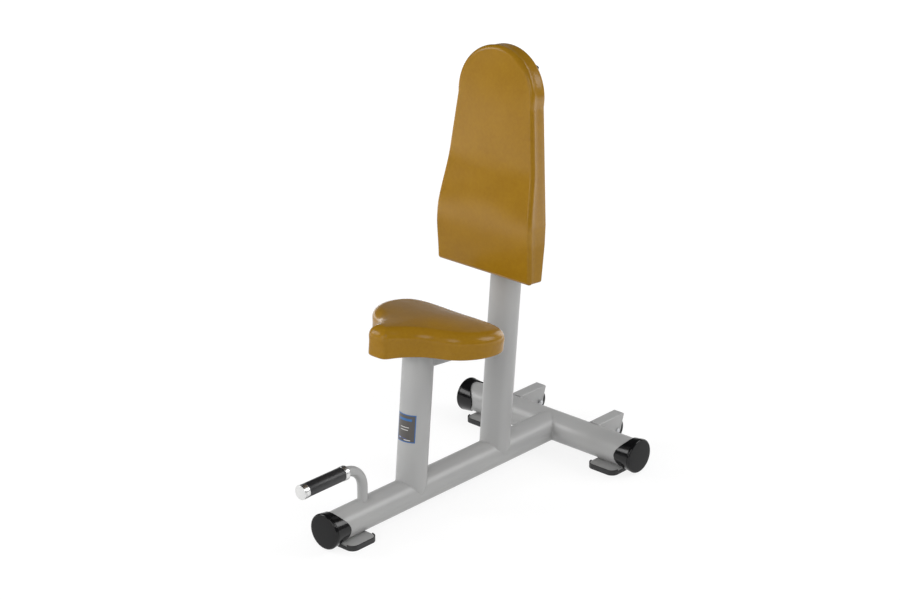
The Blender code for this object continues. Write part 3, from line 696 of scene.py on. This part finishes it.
def weld(name, points, thick, cyclic=True):
    """A weld bead, rippled where it is thick and thin where the surfaces run together."""
    radii = []
    for i, (_, steep) in enumerate(points):
        ripple = WELD_RIPPLE * math.sin(i * WELD_WAVE)
        radii.append(thick * (WELD_LEAST + (1 - WELD_LEAST) * steep) * (1 + ripple))
    bead = rod_along(name, [BENCH @ spot for spot, _ in points], radii, WELD_SIDES, cyclic)
    dress(bead, PAINT, "powder_coat")


def open_weld(name, run, thick):
    """An even bead along a run of points, with a start and an end."""
    weld(name, [(spot, WELD_EVEN) for spot in run], thick, cyclic=False)


def frame_tubes():
    """The four tubes of the frame, and the beads where they meet each other and the handle."""
    end_gap = CAP_END + GAP
    rear, side = CROSS_TUBE_Y - MAIN_TUBE_STOP, HALF_WIDTH - end_gap
    tube("main_tube_steel", end_gap - FRONT_REACH, rear, BENCH @ TO_REAR, "main_tube")
    tube("cross_tube_steel", -side, side, CROSS @ TO_RIGHT, "cross_tube")
    tube("seat_post_steel", POST_FOOT, SEAT_POST_TOP, SEAT_AXIS, "seat_post")
    tube("back_post_steel", POST_FOOT, BACK_POST_HEIGHT - end_gap, BACK_AXIS, "back_post")

    weld("seat_post_weld", saddle_points(0, POST_LEAN, TUBE_RADIUS), TUBE_WELD)
    weld("back_post_weld", saddle_points(BACK_POST_Y, POST_LEAN, TUBE_RADIUS), TUBE_WELD)
    weld("handle_weld", saddle_points(-HANDLE_Y, 0, HANDLE_RADIUS), HANDLE_WELD)
    joint = []
    for i in range(WELD_POINTS):
        a = 2 * math.pi * i / WELD_POINTS
        side, up = TUBE_RADIUS * math.cos(a), TUBE_RADIUS * math.sin(a)
        spot = Vector((side, CROSS_TUBE_Y - math.sqrt(TUBE_RADIUS**2 - up**2), up))
        joint.append((spot, abs(math.cos(a))))
    weld("cross_tube_weld", joint, TUBE_WELD)


# End caps

def end_cap():
    """A moulded cup: nearly flat disc, rounded rim, a groove behind it and a sleeve.

    The sleeve's mouth is longer at its sides, where local X points.
    """
    rim = arc((CAP_RIM - CAP_EDGE, -CAP_CROWN - CAP_EDGE), CAP_EDGE, QUARTER, 0, 10)
    groove = [(CAP_RIM, -0.0066), (CAP_RIM - 0.0004, -0.007), (CAP_RIM - 0.0011, -0.0071),
              (CAP_RIM - 0.0014, -0.0075), (CAP_RIM - 0.0011, -0.0079), (CAP_RIM - 0.0006, -0.0081)]
    shoulder, length = CAP_RIM - 0.0004, CAP_LONG_SIDE - CAP_SLEEVE_START
    sleeve = [(shoulder + (CAP_MOUTH - shoulder) * s, -CAP_SLEEVE_START - length * s)
              for s in (0, 0.04, 0.15, 0.3, 0.5, 0.7, 0.85, 0.96, 0.985)]
    lip = [(CAP_MOUTH - 0.0004, -CAP_LONG_SIDE), (CAP_MOUTH - 0.0012, -CAP_LONG_SIDE),
           (CAP_BORE + 0.0002, -CAP_LONG_SIDE), (CAP_BORE, -CAP_LONG_SIDE + 0.0006)]
    crown = [(0, 0), (0.002, 0), *((CAP_RIM * s, -CAP_CROWN * s * s) for s in (0.3, 0.6, 0.8))]
    inside = [(CAP_BORE, -CAP_DEPTH), (0, -CAP_DEPTH)]
    cap = turned("cap_model", [*crown, *rim, *groove, *sleeve, *lip, *inside])
    for vertex in cap.data.vertices:
        if vertex.co.z < -CAP_SLEEVE_START:
            sideways = abs(vertex.co.x) / math.hypot(vertex.co.x, vertex.co.y)
            mouth = CAP_SHORT_SIDE + (CAP_LONG_SIDE - CAP_SHORT_SIDE) * sideways**CAP_SCALLOP_POWER
            share = (-vertex.co.z - CAP_SLEEVE_START) / length
            vertex.co.z = -CAP_SLEEVE_START - (mouth - CAP_SLEEVE_START) * share
    return cap


def end_caps():
    """The cap on each open tube: gloss round its sides, with a textured disc."""
    model = end_cap()
    for name, place in (
        ("front_end_cap", BENCH @ at(0, -FRONT_REACH, 0) @ TO_FRONT),
        ("right_end_cap", CROSS @ at(HALF_WIDTH, 0, 0) @ TO_RIGHT),
        ("left_end_cap", CROSS @ at(-HALF_WIDTH, 0, 0) @ TO_LEFT),
        ("back_post_cap", BACK_AXIS @ at(0, 0, BACK_POST_HEIGHT)),
    ):
        cap = copied(model, name + "_moulding", place)
        dress(cap, CAP_GLOSS, "black_plastic", name)
        cap.data.materials.append(CAP_DISC)
        outwards = place.to_3x3() @ Vector((0, 0, 1))
        for face in cap.data.polygons:
            flat = face.normal.dot(outwards) > 0.985
            face.material_index = 1 if flat else 0
    bpy.data.objects.remove(model)


# Feet

def foot_rubber():
    """A rubber tray with a lip round its plate; the lip steps down across the plate's ends."""
    wall = FOOT_RUBBER_WALL + GAP
    height = FOOT_RUBBER + GAP + FOOT_PLATE + FOOT_LIP
    tray = rounded_slab(
        "tray_model", FOOT_LENGTH + 2 * wall, FOOT_WIDTH + 2 * wall, FOOT_CORNER + wall,
        -FLOOR, height - FLOOR, 0,
    )
    pocket = rounded_slab(
        "pocket", FOOT_LENGTH + 2 * GAP, FOOT_WIDTH + 2 * GAP, FOOT_CORNER + GAP,
        FOOT_RUBBER - FLOOR, FOOT_RUBBER - FLOOR + height, 0,
    )
    notch = begin("notch", bpy.ops.mesh.primitive_cube_add, size=1)
    across = FOOT_WIDTH - 2 * FOOT_CORNER - FOOT_NOTCH_INSET
    bpy.ops.transform.resize(
        value=(2 * FOOT_LENGTH, across, 2 * FOOT_TOP), center_override=(0, 0, 0)
    )
    bpy.ops.transform.translate(value=(0, 0, -FOOT_PLATE / 2 - FOOT_LIP))
    end(notch)
    for cutter in (pocket, notch):
        use_modifier(tray, "BOOLEAN", object=cutter, operation="DIFFERENCE", solver="EXACT")
        bpy.data.objects.remove(cutter)
    use_modifier(
        tray, "BEVEL", width=FOOT_RUBBER_EDGE, segments=3, limit_method="ANGLE",
        angle_limit=SHARP_ANGLE,
    )
    bpy.ops.object.shade_smooth_by_angle(angle=SHARP_ANGLE)
    return tray


def feet():
    """Steel plates welded under the tubes, each standing in a rubber pad with a notched lip."""
    plate = rounded_slab(
        "plate_model", FOOT_LENGTH, FOOT_WIDTH, FOOT_CORNER, -FOOT_TOP - FOOT_PLATE, -FOOT_TOP,
        FOOT_PLATE_EDGE,
    )
    model = foot_rubber()
    for name, spot, heading in (
        ("front_foot", (0, FOOT_SETBACK - FRONT_REACH, 0), QUARTER),
        ("right_foot", (HALF_WIDTH - FOOT_SETBACK, CROSS_TUBE_Y, 0), 0),
        ("left_foot", (FOOT_SETBACK - HALF_WIDTH, CROSS_TUBE_Y, 0), 0),
    ):
        place = BENCH @ at(*spot) @ turn(0, 0, heading)
        steel = copied(plate, name + "_steel", place)
        dress(steel, PAINT, "powder_coat", name + "_plate")
        rubber = copied(model, name + "_rubber", place)
        dress(rubber, FOOT_FINISH, "foot_rubber", name + "_pad")
        for side, where in ((-1, "near"), (1, "far")):
            run = []
            for i in range(41):
                along = FOOT_LENGTH * (i / 40 - 0.5) * FOOT_WELD_SHARE
                point = Vector((along, side * FOOT_WELD_OFFSET, FOOT_WELD_HEIGHT))
                run.append(BENCH.inverted() @ place @ point)
            open_weld(f"{name}_{where}_weld", run, TUBE_WELD)
    bpy.data.objects.remove(plate)
    bpy.data.objects.remove(model)


# Handle

def handle():
    """A bent tube with a rubber grip between a turned end cap and a collar."""
    bend = arc((-HANDLE_Y - HANDLE_BEND, HANDLE_HEIGHT - HANDLE_BEND), HANDLE_BEND, 0, QUARTER, 28)
    route = [(-HANDLE_Y, TUBE_RADIUS / 2), *bend, (HANDLE_TIP_DEPTH - HANDLE_REACH, HANDLE_HEIGHT)]
    path = [BENCH @ Vector((0, y, z)) for y, z in route]
    bar = rod_along("handle_bar", path, HANDLE_RADIUS, ROD_SIDES)
    dress(bar, PAINT, "powder_coat", "handle_tube")

    front = BENCH @ at(0, -HANDLE_REACH, HANDLE_HEIGHT) @ TO_FRONT
    bore = HANDLE_RADIUS + GAP
    edge, back_edge = TURNED_EDGE, TURNED_BACK_EDGE
    length = END_CAP_LENGTH
    profile = [
        (0, 0), (COLLAR_RADIUS - edge, 0), *arc((COLLAR_RADIUS - edge, -edge), edge, 1.2, 0, 4),
        (COLLAR_RADIUS, -0.0036), (COLLAR_RADIUS - 0.0009, -0.0038),
        (COLLAR_RADIUS - 0.0009, -0.0048), (COLLAR_RADIUS, -0.005),
        *arc((COLLAR_RADIUS - back_edge, back_edge - length), back_edge, 0, -QUARTER, 3),
        (bore, -length), (bore, -0.003), (0, -0.003),
    ]
    cap = set_in(turned("handle_end_cap_turning", profile, SMALL_SIDES), front)
    dress(cap, BRIGHT, "bright_metal", "handle_end_cap")

    top = -length - GAP
    low = top - GRIP_LENGTH
    profile = [
        (bore, top), *arc((GRIP_RADIUS - GRIP_EDGE, top - GRIP_EDGE), GRIP_EDGE, QUARTER, 0, 4),
        *arc((GRIP_RADIUS - GRIP_EDGE, low + GRIP_EDGE), GRIP_EDGE, 0, -QUARTER, 4), (bore, low),
    ]
    grip = set_in(turned("handle_grip_sleeve", profile, SMALL_SIDES), front)
    dress(grip, GRIP_FINISH, "grip_rubber", "handle_grip")

    top = low - GAP
    low = top - COLLAR_LENGTH
    profile = [
        (bore, top), *arc((COLLAR_RADIUS - back_edge, top - back_edge), back_edge, QUARTER, 0, 3),
        *arc((COLLAR_RADIUS - edge, low + edge), edge, 0, -QUARTER, 4), (bore, low),
    ]
    collar = set_in(turned("grip_collar_turning", profile, SMALL_SIDES), front)
    dress(collar, BRIGHT, "bright_metal", "grip_collar")


# Wheels

def wheels():
    """Folded brackets, rubber tyres on nylon hubs, washers, domed axle bolts and nuts."""
    half = TYRE_HALF_WIDTH
    shoulder = WHEEL_RADIUS - WHEEL_EDGE
    seat = HUB_RADIUS + GAP
    tyre = turned("tyre_model", [
        (seat, half - 0.0008), (seat + 0.0008, half), (shoulder - 0.004, half),
        *arc((shoulder, half - WHEEL_EDGE), WHEEL_EDGE, QUARTER, 0, 7),
        *arc((shoulder, WHEEL_EDGE - half), WHEEL_EDGE, 0, -QUARTER, 7),
        (shoulder - 0.004, -half), (seat + 0.0008, -half), (seat, 0.0008 - half),
    ], WHEEL_SIDES)
    wide, dish = HUB_HALF_WIDTH, HUB_HALF_WIDTH - 0.003
    face = [
        (HUB_BORE, wide), (0.0092, wide), (0.0098, wide - 0.0006), (0.0108, dish), (0.0172, dish),
        (0.0182, wide - 0.0006), (0.0188, wide), (HUB_RADIUS - 0.0006, wide),
        (HUB_RADIUS, wide - 0.0006),
    ]
    back = [(radius, -height) for radius, height in reversed(face)]
    hub = turned("hub_model", face + back, WHEEL_SIDES)
    washer = turned("washer_model", [
        (HUB_BORE, WASHER_HIGH), (WASHER_RADIUS - 0.0003, WASHER_HIGH),
        (WASHER_RADIUS, WASHER_HIGH - 0.0003), (WASHER_RADIUS, WASHER_LOW + 0.0003),
        (WASHER_RADIUS - 0.0003, WASHER_LOW), (HUB_BORE, WASHER_LOW),
    ], SMALL_SIDES)

    head_low = BRACKET_WIDTH / 2 + GAP
    dome = [(AXLE_HEAD_RADIUS * math.sin(a), head_low + AXLE_HEAD * math.cos(a))
            for a in [QUARTER * i / 12 for i in range(1, 13)]]
    tip = -head_low - NUT_HEIGHT - 0.0008
    bolt = turned("axle_bolt_model", [
        (0, dome[0][1]), *dome, (AXLE_HEAD_RADIUS - 0.0003, head_low), (AXLE_RADIUS, head_low),
        (AXLE_RADIUS, tip + 0.0006), (AXLE_RADIUS - 0.0006, tip), (0, tip),
    ], SMALL_SIDES)
    for side, x, outwards in (("right", BRACKET_X, TO_RIGHT), ("left", -BRACKET_X, TO_LEFT)):
        axle = CROSS @ at(x, AXLE_REACH, -AXLE_DROP) @ outwards
        body = side + "_wheel"
        tread = copied(tyre, side + "_tyre_rubber", axle)
        dress(tread, TYRE_FINISH, "tyre", side + "_tyre", body=body)
        core = copied(hub, side + "_hub_moulding", axle)
        dress(core, NYLON, "nylon", side + "_wheel_hub", body=body)
        for where, way in (("outer", axle), ("inner", axle @ turn(math.pi))):
            solid = f"{side}_{where}_washer"
            ring = copied(washer, solid + "_ring", way)
            dress(ring, NYLON, "nylon", solid, body=frame["nodes"][solid]["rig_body"])
        dress(copied(bolt, side + "_axle_pin", axle), ZINC, "zinc", side + "_axle_bolt")
        nut = eased(side + "_axle_locknut", side + "_axle_nut", 0.0004)
        dress(nut, ZINC, "zinc", side + "_axle_nut")
        bracket = eased(side + "_bracket_channel", side + "_wheel_bracket", 0.0005)
        dress(bracket, PAINT, "powder_coat", side + "_wheel_bracket")
        for way, where in ((-1, "left"), (1, "right")):
            across = x + way * (BRACKET_WIDTH / 2 + 0.0004)
            low = math.asin(-BRACKET_SKIRT / TUBE_RADIUS)
            round_tube = arc((CROSS_TUBE_Y, 0), TUBE_RADIUS, low, BRACKET_WELD_TOP, 36)
            run = [Vector((across, y, z)) for y, z in round_tube]
            open_weld(f"{side}_bracket_{where}_weld", run, BRACKET_WELD)
    for model in (tyre, hub, washer, bolt):
        bpy.data.objects.remove(model)


# Pads

def inset(outline, distance):
    """The outline drawn in along its own normals."""
    moved = []
    for i, (x, y) in enumerate(outline):
        before, after = outline[i - 1], outline[(i + 1) % len(outline)]
        run, rise = after[0] - before[0], after[1] - before[1]
        length = math.hypot(run, rise)
        moved.append((x - distance * rise / length, y + distance * run / length))
    return moved


def mirrored(half):
    """A whole outline from its right half, which starts and ends on x = 0."""
    return [*half, *((-x, y) for x, y in reversed(half[1:-1]))]


def from_rings(name, rings):
    """A closed piece whose skin runs through rings of points, from one end face to the other."""
    shape = bmesh.new()
    rows = [[shape.verts.new(spot) for spot in ring] for ring in rings]
    for row, following in zip(rows, rows[1:]):
        for i in range(len(row)):
            shape.faces.new((row[i - 1], row[i], following[i], following[i - 1]))
    shape.faces.new(rows[0])
    shape.faces.new(rows[-1])
    bmesh.ops.recalc_face_normals(shape, faces=shape.faces)
    mesh = bpy.data.meshes.new(name)
    shape.to_mesh(mesh)
    shape.free()
    return added(name, mesh)


def spline(cage, steps):
    """A closed smooth outline drawn by a cage of points, as a uniform cubic spline."""
    outline = []
    for i in range(len(cage)):
        near = [cage[(i + k) % len(cage)] for k in (-1, 0, 1, 2)]
        for step in range(steps):
            t = step / steps
            shares = ((1 - t) ** 3, 3 * t**3 - 6 * t**2 + 4, 1 + 3 * t + 3 * t**2 - 3 * t**3, t**3)
            outline.append(tuple(
                sum(s * spot[k] for s, spot in zip(shares, near)) / 6 for k in (0, 1)
            ))
    return outline


def seat_outline(shrink):
    """From above: a narrow nose, hollow flanks and a wide tail."""
    return spline(inset(spline(mirrored(SEAT_CAGE), 4), shrink), 5)


def seat_face(x, y):
    """The seat's slope down from its nose to its tail."""
    return -SEAT_PITCH * y


def between(start, stop, count):
    """Evenly spaced points after one point and up to another."""
    return [tuple(a + (b - a) * i / count for a, b in zip(start, stop)) for i in range(1, count + 1)]


def back_outline(shrink):
    """From the front: a straight foot, a widest hip, straight tapering sides and a round head."""
    head = (0, BACK_TOP - BACK_HEAD_RADIUS)
    head_radius = BACK_HEAD_RADIUS - shrink
    taper = (BACK_TAPER_HALF_WIDTH - shrink, BACK_TAPER_START)
    rise = head[1] - taper[1]
    lean = math.acos(head_radius / math.hypot(taper[0], rise)) - math.atan2(rise, taper[0])
    crown = arc(head, head_radius, -lean, QUARTER, 40)
    low = BACK_BOTTOM + shrink
    radius = max(BACK_LOW_CORNER - shrink, 0.0005)
    corner = arc((BACK_LOW_HALF_WIDTH - shrink - radius, low + radius), radius, -QUARTER, 0, 8)
    hip = (BACK_HIP_HALF_WIDTH - shrink, BACK_HIP_HEIGHT)
    return mirrored([
        (0, low), *between((0, low), corner[0], 16), *corner[1:], *between(corner[-1], hip, 12),
        *between(hip, taper, 8), *between(taper, crown[0], 36), *crown[1:],
    ])


def lumbar_face(x, y):
    """The back's swell for the small of the back."""
    away = min(abs(y - LUMBAR_HEIGHT) / LUMBAR_SPAN, 1)
    return LUMBAR_RISE * math.cos(QUARTER * away) ** 2


def towards(centre, outline, share):
    """The outline drawn in towards a centre, down to a share of its size."""
    return [tuple(c + (v - c) * share for c, v in zip(centre, spot)) for spot in outline]


def cover(name, outline, thickness, face, edge, board, centre):
    """A pad's closed cover before its foam swells, with a pocket for its board behind."""
    top = thickness - PAD_SLACK

    def level(points, height):
        return [(x, y, height) for x, y in points]

    def on_face(points, drop):
        return [(x, y, top + face(x, y) - drop) for x, y in points]

    mouth = outline(BOARD_INSET - GAP)
    side = outline(CUSHION_DRAW_IN)
    middle = [sum(spot[k] for spot in mouth) / len(mouth) for k in (0, 1)]
    rings = [level(towards(middle, mouth, share), board + GAP) for share in (0.02, 0.5, 0.9)]
    rings += [level(mouth, height) for height in (board + GAP, board / 2, 0.001)]
    rings += [level(outline(BOARD_INSET - GAP - 0.0006), 0), level(outline(BOARD_INSET / 2 + GAP), 0)]
    for a in [QUARTER * i / 4 for i in range(5)]:
        shrink = CUSHION_DRAW_IN + CUSHION_BACK_EDGE * (1 - math.sin(a))
        rings.append(level(outline(shrink), CUSHION_BACK_EDGE * (1 - math.cos(a))))
    back = CUSHION_BACK_EDGE
    for share in (0.33, 0.66, 1):
        rings.append([
            (x, y, back + (top + face(x, y) - 1.5 * edge - back) * share) for x, y in side
        ])
    rings.append(on_face(outline(CUSHION_DRAW_IN / 4), 1.2 * edge))
    for a in [QUARTER * i / 16 for i in range(17)]:
        rings.append(on_face(outline(edge * (1 - math.cos(a))), edge * (1 - math.sin(a))))
    flat = outline(edge)
    for share in (0.985, *(1 - i / 32 for i in range(1, 32)), 0.01):
        rings.append(on_face(towards(centre, flat, share), -CUSHION_CROWN * (1 - share**2)))
    return from_rings(name, rings)


def spots(piece):
    """The piece's points as an array."""
    flat = np.empty(len(piece.data.vertices) * 3, np.float32)
    piece.data.vertices.foreach_get("co", flat)
    return flat.reshape(-1, 3)


def swelling(piece, outline, thickness, edge):
    """Where a remeshed copy of a cover has its points, and how far its foam pushes each one out.

    The cloth is held at its back, its sides and its rounded edge. Where its face would move by more
    than PAD_TRAVEL, the whole swelling is reduced alike.
    """
    cloth = copied(piece, "cloth_trial", Matrix())
    only(cloth)
    cloth.data.remesh_voxel_size = PAD_VOXEL
    bpy.ops.object.voxel_remesh()
    before = spots(cloth)
    rim = np.array(outline(0))
    away = np.min(np.linalg.norm(before[:, None, :2] - rim[None], axis=2), axis=1)
    fast = (away < edge) | (before[:, 2] < thickness / 2)
    held = cloth.vertex_groups.new(name="held")
    held.add(np.flatnonzero(fast).tolist(), 1.0, "REPLACE")
    foam = cloth.modifiers.new("foam", "CLOTH")
    foam.settings.quality = 5
    foam.settings.use_pressure = True
    foam.settings.uniform_pressure_force = PAD_PRESSURE
    foam.settings.vertex_group_mass = "held"
    foam.settings.effector_weights.gravity = 0
    foam.point_cache.frame_end = PAD_FRAMES
    for step in range(1, PAD_FRAMES + 1):
        bpy.context.scene.frame_set(step)
    bpy.ops.object.modifier_apply(modifier="foam")
    bpy.context.scene.frame_set(1)
    moved = spots(cloth) - before
    bpy.data.objects.remove(cloth)
    return before, moved * min(1, PAD_TRAVEL / np.linalg.norm(moved, axis=1).max())


def stuffed(name, outline, thickness, face, edge, board, centre):
    """A cover filled by its foam, as a cloth simulation swells it.

    The swelling is evened out over PAD_EVEN before the cover takes it, so its edges stay crisp.
    """
    piece = cover(name, outline, thickness, face, edge, board, centre)
    before, moved = swelling(piece, outline, thickness, edge)
    front = before[:, 2] > thickness / 2
    points = spots(piece)
    face_points = np.flatnonzero(points[:, 2] > thickness / 2)
    for some in np.array_split(face_points, 40):
        away = ((points[some, None] - before[front]) ** 2).sum(axis=2)
        share = np.exp(-away / PAD_EVEN**2)
        points[some] += share @ moved[front] / share.sum(axis=1, keepdims=True)
    piece.data.vertices.foreach_set("co", points.ravel())
    only(piece)
    bpy.ops.object.shade_smooth()
    return piece


def seat_pad():
    """The seat's stuffed cover and its board."""
    middle = (0, (SEAT_CAGE[0][1] + SEAT_CAGE[-1][1]) / 2 + SEAT_EDGE)
    pad = stuffed(
        "seat_pad_vinyl", seat_outline, SEAT_THICKNESS, seat_face, SEAT_EDGE, SEAT_BOARD, middle
    )
    set_in(pad, SEAT_AXIS @ at(0, 0, SEAT_BASE))
    dress(pad, VINYL, "vinyl", "seat_cushion")
    board = eased("seat_board_ply", "seat_board", 0.0008)
    dress(board, PLYWOOD, "plywood", "seat_board")


def back_pad():
    """The back's stuffed cover and its board."""
    middle = (0, (BACK_BOTTOM + BACK_TOP) / 2)
    pad = stuffed(
        "back_pad_vinyl", back_outline, BACK_THICKNESS, lumbar_face, BACK_EDGE, BACK_BOARD, middle
    )
    set_in(pad, BACK_AXIS @ at(0, -BACK_PLANE, 0) @ TO_FRONT)
    dress(pad, VINYL, "vinyl", "back_cushion")
    board = eased("back_board_ply", "back_board", 0.0008)
    dress(board, PLYWOOD, "plywood", "back_board")


# Plates, carrier and bolts under the pads

def carriers():
    """The steel that carries the pads, and the plug in the square tube's end."""
    for node, width in (
        ("seat_mount_plate", 0.0007), ("lower_back_plate", 0.0005),
        ("upper_back_plate", 0.0005), ("seat_carrier", 0.0005),
    ):
        dress(eased(node + "_steel", node, width), PAINT, "powder_coat", node)
    plug = eased("carrier_plug_moulding", "carrier_plug", 0.0008)
    dress(plug, CAP_GLOSS, "black_plastic", "carrier_plug")


def pad_bolt(length):
    """A hexagon bolt with a flange under its head; its shank rises from z = 0."""
    head = begin(
        "head", bpy.ops.mesh.primitive_cylinder_add, vertices=6, radius=BOLT_HEAD_RADIUS,
        depth=BOLT_HEAD - BOLT_FLANGE / 2,
    )
    bpy.ops.transform.translate(value=(0, 0, -(BOLT_HEAD + BOLT_FLANGE / 2) / 2))
    pick("FACE", lambda face: face.normal.z < -0.9)
    bpy.ops.mesh.inset(thickness=0.0009)
    bpy.ops.transform.translate(value=(0, 0, -0.0004))
    pick("EDGE", lambda edge: abs(edge.verts[0].co.z - edge.verts[1].co.z) > 0.003)
    bpy.ops.mesh.bevel(offset=0.0004, segments=2)
    end(head, 25)
    radius = BOLT_FLANGE_RADIUS
    shank = turned("shank", [
        (0, length), (BOLT_SHANK - 0.0006, length), (BOLT_SHANK, length - 0.0006), (BOLT_SHANK, 0),
        (radius - 0.0002, 0), (radius, -0.0003), (radius - 0.0001, -BOLT_FLANGE * 0.7),
        (radius - 0.0008, -BOLT_FLANGE), (0, -BOLT_FLANGE),
    ], ROD_SIDES)
    return join([shank, head])


def pad_bolts():
    """The bolts that hold both pads, and the finish of what is let into their boards."""
    back_spots = [(x, y) for y in BACK_PLATE_HEIGHTS for x in (-BACK_BOLT_X, BACK_BOLT_X)]
    seat_base = SEAT_AXIS @ at(0, 0, SEAT_BASE)
    back_base = BACK_AXIS @ at(0, -BACK_PLANE, 0) @ TO_FRONT
    for pad, base, grip, board, places in (
        ("seat", seat_base, SEAT_BOLT_GRIP, SEAT_BOARD, SEAT_BOLTS),
        ("back", back_base, BACK_BOLT_GRIP, BACK_BOARD, back_spots),
    ):
        model = pad_bolt(grip + board - 0.001)
        for i, (x, y) in enumerate(places, 1):
            piece = copied(model, f"{pad}_flange_bolt_{i}", base @ at(x, y, -grip))
            dress(piece, ZINC, "zinc", f"{pad}_bolt_{i}")
        bpy.data.objects.remove(model)
    for name, node in frame["nodes"].items():
        if "_insert_" in name or name.endswith("_bush"):
            node.data.materials.clear()
            node.data.materials.append(ZINC)


# Label

def post_label():
    """A printed label bent round the front of the seat post."""
    piece = begin(
        "post_label_print", bpy.ops.mesh.primitive_grid_add, x_subdivisions=36, y_subdivisions=20,
        size=1,
    )
    bpy.ops.transform.resize(value=(LABEL_WIDTH, LABEL_HEIGHT, 1), center_override=(0, 0, 0))
    bpy.ops.object.mode_set(mode="OBJECT")
    radius = TUBE_RADIUS + LABEL_FILM
    for vertex in piece.data.vertices:
        a = LABEL_TURN - QUARTER + vertex.co.x / radius
        vertex.co = (radius * math.cos(a), radius * math.sin(a), LABEL_MIDDLE + vertex.co.y)
    use_modifier(piece, "SOLIDIFY", thickness=LABEL_FILM, offset=0)
    bpy.ops.object.shade_smooth_by_angle(angle=EDGE_ANGLE)
    set_in(piece, SEAT_AXIS)
    dress(piece, FILM, "label_film", "post_label")


# Floor, light and camera

def backdrop_rays(tree):
    """1 for the rays that see the studio itself, which the camera, metal and glass send out."""
    ray = add_node(tree, "LightPath").outputs
    sent = {0: ray["Is Glossy Ray"], 1: ray["Is Transmission Ray"]}
    seen = {0: ray["Is Camera Ray"], 1: add_node(tree, "Math", sent, operation="MAXIMUM")}
    return add_node(tree, "Math", seen, operation="MAXIMUM")


def pale_floor():
    """A plain floor that keeps the bench's shadow, white to the camera and graded in what shines."""
    bpy.ops.object.select_all(action="DESELECT")
    bpy.ops.mesh.primitive_plane_add(size=FLOOR_SIZE)
    floor = bpy.context.object
    floor.name = "studio_floor"
    pale = bpy.data.materials.new("pale studio floor")
    pale.use_nodes = True
    tree = pale.node_tree
    tree.nodes.clear()
    lit = add_node(tree, "BsdfDiffuse", {"Color": FLOOR_LIT})
    shaded = add_node(tree, "BsdfDiffuse", {"Color": FLOOR_SHADED})
    place = add_node(tree, "TexCoord").outputs["Object"]
    away = add_node(tree, "VectorMath", {0: place}, operation="LENGTH").outputs["Value"]
    # Less lamp light falls far from the bench, so there the floor glows more and stays white
    white = add_node(tree, "Emission", {"Strength": add_node(tree, "MapRange", {
        "Value": away, "From Min": GLOW_RANGE[0], "From Max": GLOW_RANGE[1],
        "To Min": GLOW[0], "To Max": GLOW[1],
    })})
    share = add_node(tree, "MapRange", {"Value": away, "From Min": 0.0, "From Max": SHEEN_REACH})
    greys = ramp(tree, share, FLOOR_GREYS)
    sheen = add_node(tree, "Emission", {"Color": greys, "Strength": SHEEN_STRENGTH})
    shining = add_node(tree, "LightPath").outputs["Is Glossy Ray"]
    glow = add_node(tree, "MixShader", {0: shining, 1: white, 2: sheen})
    backdrop = add_node(tree, "AddShader", {0: shaded, 1: glow})
    surface = add_node(tree, "MixShader", {0: backdrop_rays(tree), 1: lit, 2: backdrop})
    add_node(tree, "OutputMaterial", {"Surface": surface})
    floor.data.materials.append(pale)


def surroundings():
    """Even light from all sides. What shines sees a dark room in front and a paler one behind."""
    world = bpy.data.worlds.new("studio")
    bpy.context.scene.world = world
    world.use_nodes = True
    tree = world.node_tree
    tree.nodes.clear()
    direction = add_node(tree, "TexCoord").outputs["Generated"]
    way = add_node(tree, "SeparateXYZ", {"Vector": direction}).outputs
    behind = add_node(tree, "MapRange", {"Value": way["Y"], "From Min": 0.0, "From Max": ROOM_TURN})
    front, rear = (ramp(tree, way["Z"], greys) for greys in (FRONT_GREYS, REAR_GREYS))
    room = add_node(tree, "MixRGB", {"Fac": behind, "Color1": front, "Color2": rear})
    camera_ray = add_node(tree, "LightPath").outputs["Is Camera Ray"]
    sky = add_node(tree, "MixRGB", {"Fac": camera_ray, "Color1": room, "Color2": WHITE})
    backdrop = add_node(tree, "Background", {"Color": sky, "Strength": 1.0})
    fill = add_node(tree, "Background", {"Color": WHITE, "Strength": WORLD_FILL})
    mix = add_node(tree, "MixShader", {0: backdrop_rays(tree), 1: fill, 2: backdrop})
    add_node(tree, "OutputWorld", {"Surface": mix})


def lamps():
    """Round soft lamps, all aimed at the middle of the bench."""
    middle = Vector(LAMP_AIM)
    for name, azimuth, elevation, watts in LAMPS:
        light = bpy.data.lights.new(name, "AREA")
        light.shape = "DISK"
        light.size = LAMP_SIZE
        light.energy = watts
        lamp = added(name, light)
        a, e = math.radians(azimuth), math.radians(elevation)
        way = Vector((math.sin(a) * math.cos(e), -math.cos(a) * math.cos(e), math.sin(e)))
        lamp.location = middle + LAMP_DISTANCE * way
        lamp.rotation_euler = (middle - lamp.location).to_track_quat("-Z", "Y").to_euler()


def camera():
    """The camera in the photographer's place."""
    eye = bpy.data.cameras.new("camera")
    eye.lens = CAMERA_LENS
    eye.sensor_width = CAMERA_SENSOR
    holder = added("camera", eye)
    holder.location = CAMERA_PLACE
    holder.rotation_euler = [math.radians(angle) for angle in CAMERA_TURN]
    bpy.context.scene.camera = holder
    bpy.context.scene.view_settings.view_transform = "Standard"


frame_tubes()
end_caps()
feet()
handle()
wheels()
carriers()
seat_pad()
back_pad()
pad_bolts()
post_label()
pale_floor()
surroundings()
lamps()
camera()
